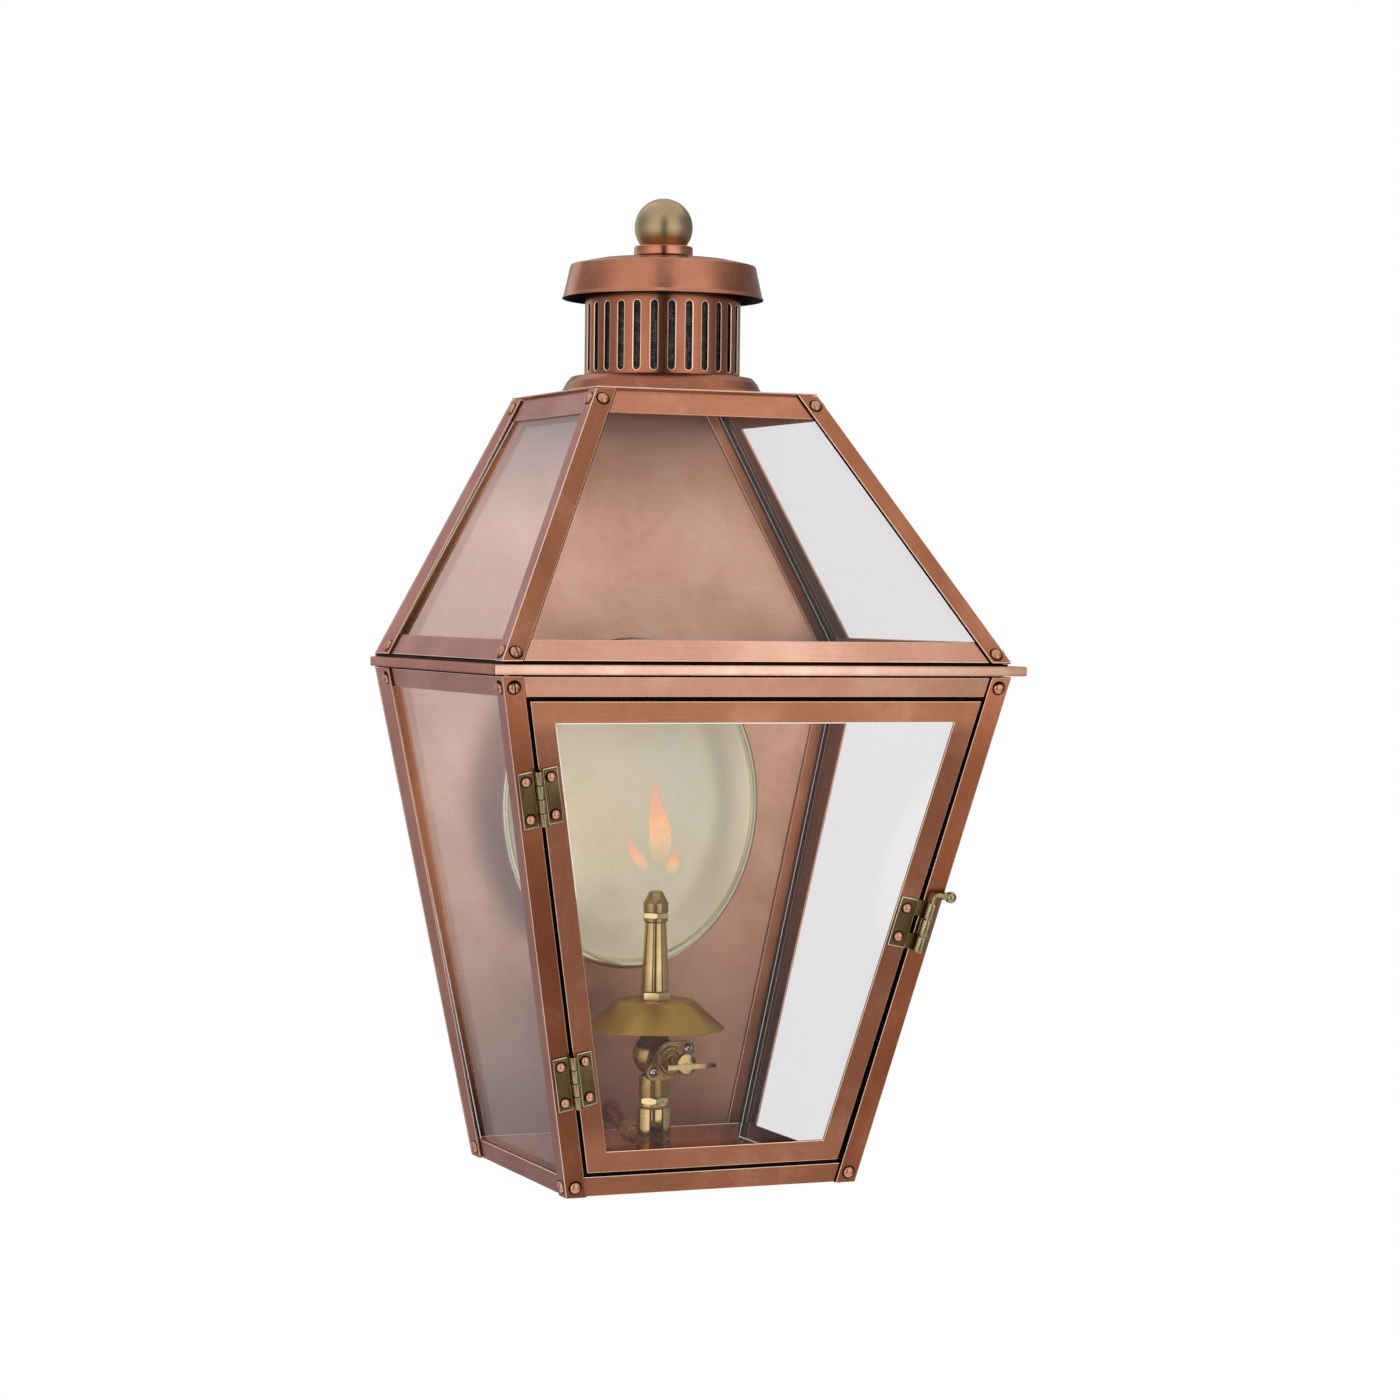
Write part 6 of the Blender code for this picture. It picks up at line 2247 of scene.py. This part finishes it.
    def cover(self, stem: Matrix) -> None:
        """The lozenge-shaped cover plate and its screws.

        Args:
            stem: The key's axes, z out of the valve.
        """
        small, large = 5.2 * MM, 11.8 * MM
        tangent = acos((large - small) / self.screw_reach)
        loop = circle(small, (self.screw_reach, 0), 12, -tangent, tangent)
        loop += circle(large, (0, 0), 12, tangent, pi - tangent)
        loop += circle(small, (-self.screw_reach, 0), 12, pi - tangent, pi + tangent)
        loop += circle(large, (0, 0), 12, pi + tangent, 2 * pi - tangent)
        plate = sheet_of("cover", [loop, circle(4.2 * MM, (0, 0), 32)], self.cover_sheet)
        tilted = stem @ Matrix.Rotation(self.screw_tilt, 4, "Z")
        ring = lathe("ring", eased([(8.8 * MM, 1.8 * MM), (9.3 * MM, -0.5 * MM), (6.2 * MM, -0.5 * MM),
                                    (6.2 * MM, 1.8 * MM)], 0.4 * MM), 48)
        mesh = carved(plate, [(ring, Matrix())], "UNION")
        frame = tilted @ Matrix.Translation((0, 0, self.cover_front))
        add_piece("valve_cover_cast", mesh, [CAST.build(), WORN_HIGHLIGHT_BRASS.build()], frame, ["valve_cover"],
                  slot=Slot.BURNER, edge=Edge(0.5 * MM, 3), smooth=40)
        spots = [(frame @ Matrix.Translation((end * self.screw_reach, 0, 0)), Head.CROSS) for end in (-1, 1)]
        add_fixings("valve_cover_screws", spots, Body.LANTERN, Fixing(3.0 * MM, 1.9 * MM, 0.3 * MM), STEEL,
                    Slot.BURNER)

    def key(self, stem: Matrix) -> None:
        """The key: a round stem, a disc and a flat wing through its slot.

        Args:
            stem: The key's axes, z out of the valve.
        """
        reach = self.key_reach
        start = self.cover_front - self.cover_sheet
        shaft = lathe("shaft", eased([(0.0, reach - 2 * MM), (4.1 * MM, reach - 2 * MM), (4.1 * MM, start),
                                      (0.0, start)], 0.3 * MM, 3, False), 48, False)
        disc = lathe("disc", eased([(0.0, reach), (6.7 * MM, reach), (6.7 * MM, reach - 4 * MM),
                                    (0.0, reach - 4 * MM)], 0.7 * MM, 4, False), 64, False)
        low, high = -2.7 * MM, 0.3 * MM
        wing = box_of("wing", (-15.8 * MM, low, reach - 1.2 * MM), (19.2 * MM, high, reach + 3.0 * MM))
        mesh = carved(shaft, [(disc, Matrix()), (wing, Matrix())], "UNION")
        add_piece("valve_key_turned", mesh, [BURNER.build(), WORN_HIGHLIGHT_BRASS.build()], stem, ["valve_key"],
                  body=Body.KEY, slot=Slot.BURNER, edge=Edge(0.3 * MM, 2), smooth=28)

    def supply(self) -> None:
        """The copper supply tube and its flare nut."""
        low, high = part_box("supply_pipe")
        radius = high.x
        start, end = high.z - radius, low.z + radius
        points = [Vector((0, 0, start)), Vector((0, -7 * MM, start))]
        for step in range(1, 16):
            share = step / 16
            ease = share * share * (3 - 2 * share)
            points.append(Vector((0, -7 * MM - 21 * MM * share, start + (end - start) * ease)))
        points += [Vector((0, -28 * MM, end)), Vector((0, low.y, end))]
        mesh = swept("pipe", points, radius, 10)
        add_piece("supply_pipe_bent", mesh, [FLOOR_COPPER.build()], replaced=["supply_pipe"], smooth=60)
        frame = Matrix.Translation((0, 0, end)) @ Matrix.Rotation(pi / 2, 4, "X")
        body = self.hexagon(7.8 * MM, 4.0 * MM, 34.5 * MM, 49.0 * MM, 0.2, 0.9 * MM)
        neck = lathe("neck", eased([(0.0, 64.7 * MM), (5.6 * MM, 64.7 * MM), (5.6 * MM, 48 * MM),
                                    (0.0, 48 * MM)],
                                   0.4 * MM, 3, False), 48, False)
        self.nut("supply_nut", combined("supply_nut", [(body, Matrix()), (neck, Matrix())]), frame)

    def build(self) -> None:
        """Builds the whole burner."""
        self.stack()
        self.valve()
        self.supply()


@dataclass
class Flame:
    """The tongues of the gas flame: x and height of the tip, x and height of the foot, and the width."""

    tongues: tuple[tuple[float, float, float, float, float], ...] = (
        (0.000, -0.0687, 0.0015, -0.1268, 0.0085),
        (-0.0207, -0.1083, -0.0094, -0.1313, 0.0050),
        (0.0160, -0.1143, 0.0093, -0.1333, 0.0050),
    )
    steps: int = 32

    def build(self) -> None:
        """Builds each tongue as a leaning teardrop."""
        for number, (tip_x, tip_z, foot_x, foot_z, width) in enumerate(self.tongues):
            height = tip_z - foot_z
            profile = []
            for i in range(self.steps + 1):
                share = i / self.steps
                radius = width * (sin(pi * share ** 0.62) ** 0.8) * (1 - 0.35 * share)
                profile.append((radius if 0 < i < self.steps else 0.0, height * share))
            mesh = lathe("tongue", profile[::-1], 48, False)
            for vertex in mesh.vertices:
                share = vertex.co.z / height
                bow = (tip_x - foot_x) * (share ** 1.4) + 0.15 * width * sin(share * 2 * pi)
                vertex.co.x += bow
                vertex.co.y *= 0.55
            frame = Matrix.Translation((foot_x, AXIS_Y, foot_z))
            add_piece(f"flame_tongue_{number + 1}", mesh, [Fire().build(height)], frame, slot=Slot.PANE,
                      smooth=80)


# Stage


def way_to(azimuth: float, elevation: float) -> Vector:
    """A direction out from the lantern, 0 to the front and rising to its right."""
    return Vector((sin(azimuth) * cos(elevation), -cos(azimuth) * cos(elevation), sin(elevation)))


@dataclass
class Studio:
    """The camera, the light and the floor.

    PANELS, SIDE_PANEL and HEIGHTS hold the light's brightness by angle, in degrees from the camera's, and by
    height. LAMPS holds each lamp's name, azimuth, elevation, reach, size and power.
    """

    PANELS = (
        (-180, 0.35), (-150, 0.40), (-120, 0.42), (-95, 0.40), (-78, 0.55), (-45, 1.10), (-28, 1.15),
              (-9, 0.90),
        (-6, 0.06), (10, 0.03), (14, 0.75), (28, 1.12), (50, 1.12), (64, 0.80), (80, 0.30), (110, 0.25),
              (150, 0.25),
        (180, 0.35),
    )
    HEIGHTS = ((0.0, 0.70), (0.29, 0.72), (0.39, 0.95), (0.46, 1.30), (0.53, 1.22), (0.62, 1.0), (1.0, 0.95))
    LAMPS = (("key_lamp", 32, 28, 2.4, 1.1, 22), ("fill_lamp", -75, 20, 2.6, 1.4, 10))
    SIDE_PANEL = ((-180, 0), (-155, 0), (-151, 1), (-129, 1), (-125, 0), (180, 0))
    azimuth: float = radians(-22.72)
    elevation: float = radians(1.66)
    roll: float = radians(0.685)
    distance: float = 2.1718
    target: tuple[float, float, float] = (0.0269, -0.080, -0.0224)
    lens: float = 88.25
    floor_drop: float = 1.2
    floor_radius: float = 2.6

    def back(self) -> Vector:
        """Direction from the lantern to the camera."""
        return way_to(self.azimuth, self.elevation)

    def camera(self) -> None:
        """Makes the camera and sets it as the scene's."""
        data = bpy.data.cameras.new("camera")
        data.lens = self.lens
        data.sensor_width = 36.0
        data.clip_end = 100.0
        made = linked("camera", data)
        turn = (-self.back()).to_track_quat("-Z", "Y").to_matrix().to_4x4()
        spot = Matrix.Translation(Vector(self.target) + self.back() * self.distance)
        made.matrix_world = spot @ turn @ Matrix.Rotation(self.roll, 4, "Z")
        bpy.context.scene.camera = made

    def floor(self) -> None:
        """A pale round floor that fades out at its rim."""
        bm = bmesh.new()
        bmesh.ops.create_circle(bm, cap_ends=True, segments=96, radius=self.floor_radius)
        mesh = mesh_of(bm, "studio_floor")
        made = linked("studio_floor", mesh)
        made.location = (0, -0.1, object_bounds()[0].z - self.floor_drop)
        mesh.materials.append(material_of("studio_floor", self.draw))
        made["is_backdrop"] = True

    def draw(self, graph: Graph) -> NodeSocket:
        """Adds the nodes of the floor and returns their shader.

        Args:
            graph: Where they go.

        Returns:
            The shader's output.
        """
        x, y, _ = graph.parts(graph.place())
        radius = graph.math("SQRT", x * x + y * y)
        solid = graph.spread(radius, self.floor_radius * 0.45, self.floor_radius * 0.98, 1.0, 0.0)
        tone = graph.blend(graph.spread(graph.noise(graph.place(), 3.0), 0.3, 0.7), (0.90, 0.90, 0.90),
                           (0.93, 0.93, 0.93))
        sockets = {"Base Color": tone, "Roughness": 0.7, "Alpha": solid}
        return graph.node("BsdfPrincipled", None, sockets).outputs[0]

    def world(self) -> None:
        """White to the eye; to the metal, two broad soft panels with a dim gap between them."""
        world = bpy.data.worlds.new("studio")
        bpy.context.scene.world = world
        world.use_nodes = True
        graph = Graph(world.node_tree)
        x, y, z = graph.parts(Link(graph, graph.node("TexCoord").outputs["Generated"]))
        ahead = x * sin(self.azimuth) - y * cos(self.azimuth)
        right = x * cos(self.azimuth) + y * sin(self.azimuth)
        turn = graph.math("ARCTAN2", right, ahead) / (2 * pi) + 0.5
        panels = graph.ramp(turn, self.levels(self.PANELS), False)
        height = graph.ramp(z * 0.5 + 0.5, [(spot, (level,) * 3) for spot, level in self.HEIGHTS], False)
        level_sky = graph.blend(1.0, panels, height, "MULTIPLY")
        studio = graph.blend(graph.spread(z, 0.42, 0.72), level_sky, (0.90, 0.90, 0.90))
        side = graph.ramp(turn, self.levels(self.SIDE_PANEL), False)
        lit = graph.spread(z, -0.36, -0.17, 0.15, 0.50) + graph.spread(z, 0.0, 0.15, 0.0, 0.50)
        panel = graph.blend(lit, (0.0, 0.0, 0.0), (0.43, 0.42, 0.46))
        studio = graph.blend(1.0, studio, graph.blend(1.0, side, panel, "MULTIPLY"), "ADD")
        seen = Link(graph, graph.node("LightPath").outputs["Is Camera Ray"])
        colour = graph.blend(seen, studio, (1.0, 1.0, 1.0))
        background = graph.node("Background", None, {"Color": colour, "Strength": 1.0})
        graph.node("OutputWorld", None, {0: background.outputs[0]})

    @staticmethod
    def levels(stops: Sequence[Point]) -> list[tuple[float, Colour]]:
        """Angles in degrees and brightnesses as the stops of a ramp over a full turn."""
        return [(angle / 360 + 0.5, (level,) * 3) for angle, level in stops]

    def lamp(self, name: str, azimuth: float, elevation: float, reach: float, size: float,
             power: float) -> None:
        """A square soft lamp that faces the lantern.

        Args:
            name: Name of the lamp.
            azimuth: Direction in degrees, as for the camera.
            elevation: Height above the horizon in degrees.
            reach: Distance from the lantern.
            size: Side of its panel.
            power: Power in watts.
        """
        way = way_to(radians(azimuth), radians(elevation))
        data = bpy.data.lights.new(name, "AREA")
        data.energy = power
        data.size = size
        made = linked(name, data)
        turn = (-way).to_track_quat("-Z", "Y").to_matrix().to_4x4()
        made.matrix_world = Matrix.Translation(Vector(self.target) + way * reach) @ turn
        made.visible_glossy = False

    def build(self) -> None:
        """Builds the stage."""
        self.camera()
        self.floor()
        self.world()
        for lamp in self.LAMPS:
            self.lamp(*lamp)
        bpy.context.scene.view_settings.view_transform = "Standard"


def main() -> None:
    """Builds the stage and every sub-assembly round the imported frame."""
    logging.basicConfig(level=logging.INFO, format="%(name)s: %(message)s")
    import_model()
    Studio().build()
    shape = Silhouette()
    for assembly in (CornerAngles(shape), Rails(shape), Collar(shape), Plates(shape), Panes(shape), Vent(),
                     Door(shape), Hinges(shape), Latch(shape), Reflector(), Burner(), Flame()):
        LOG.info("building %s", type(assembly).__name__)
        assembly.build()


if __name__ == "__main__":
    main()
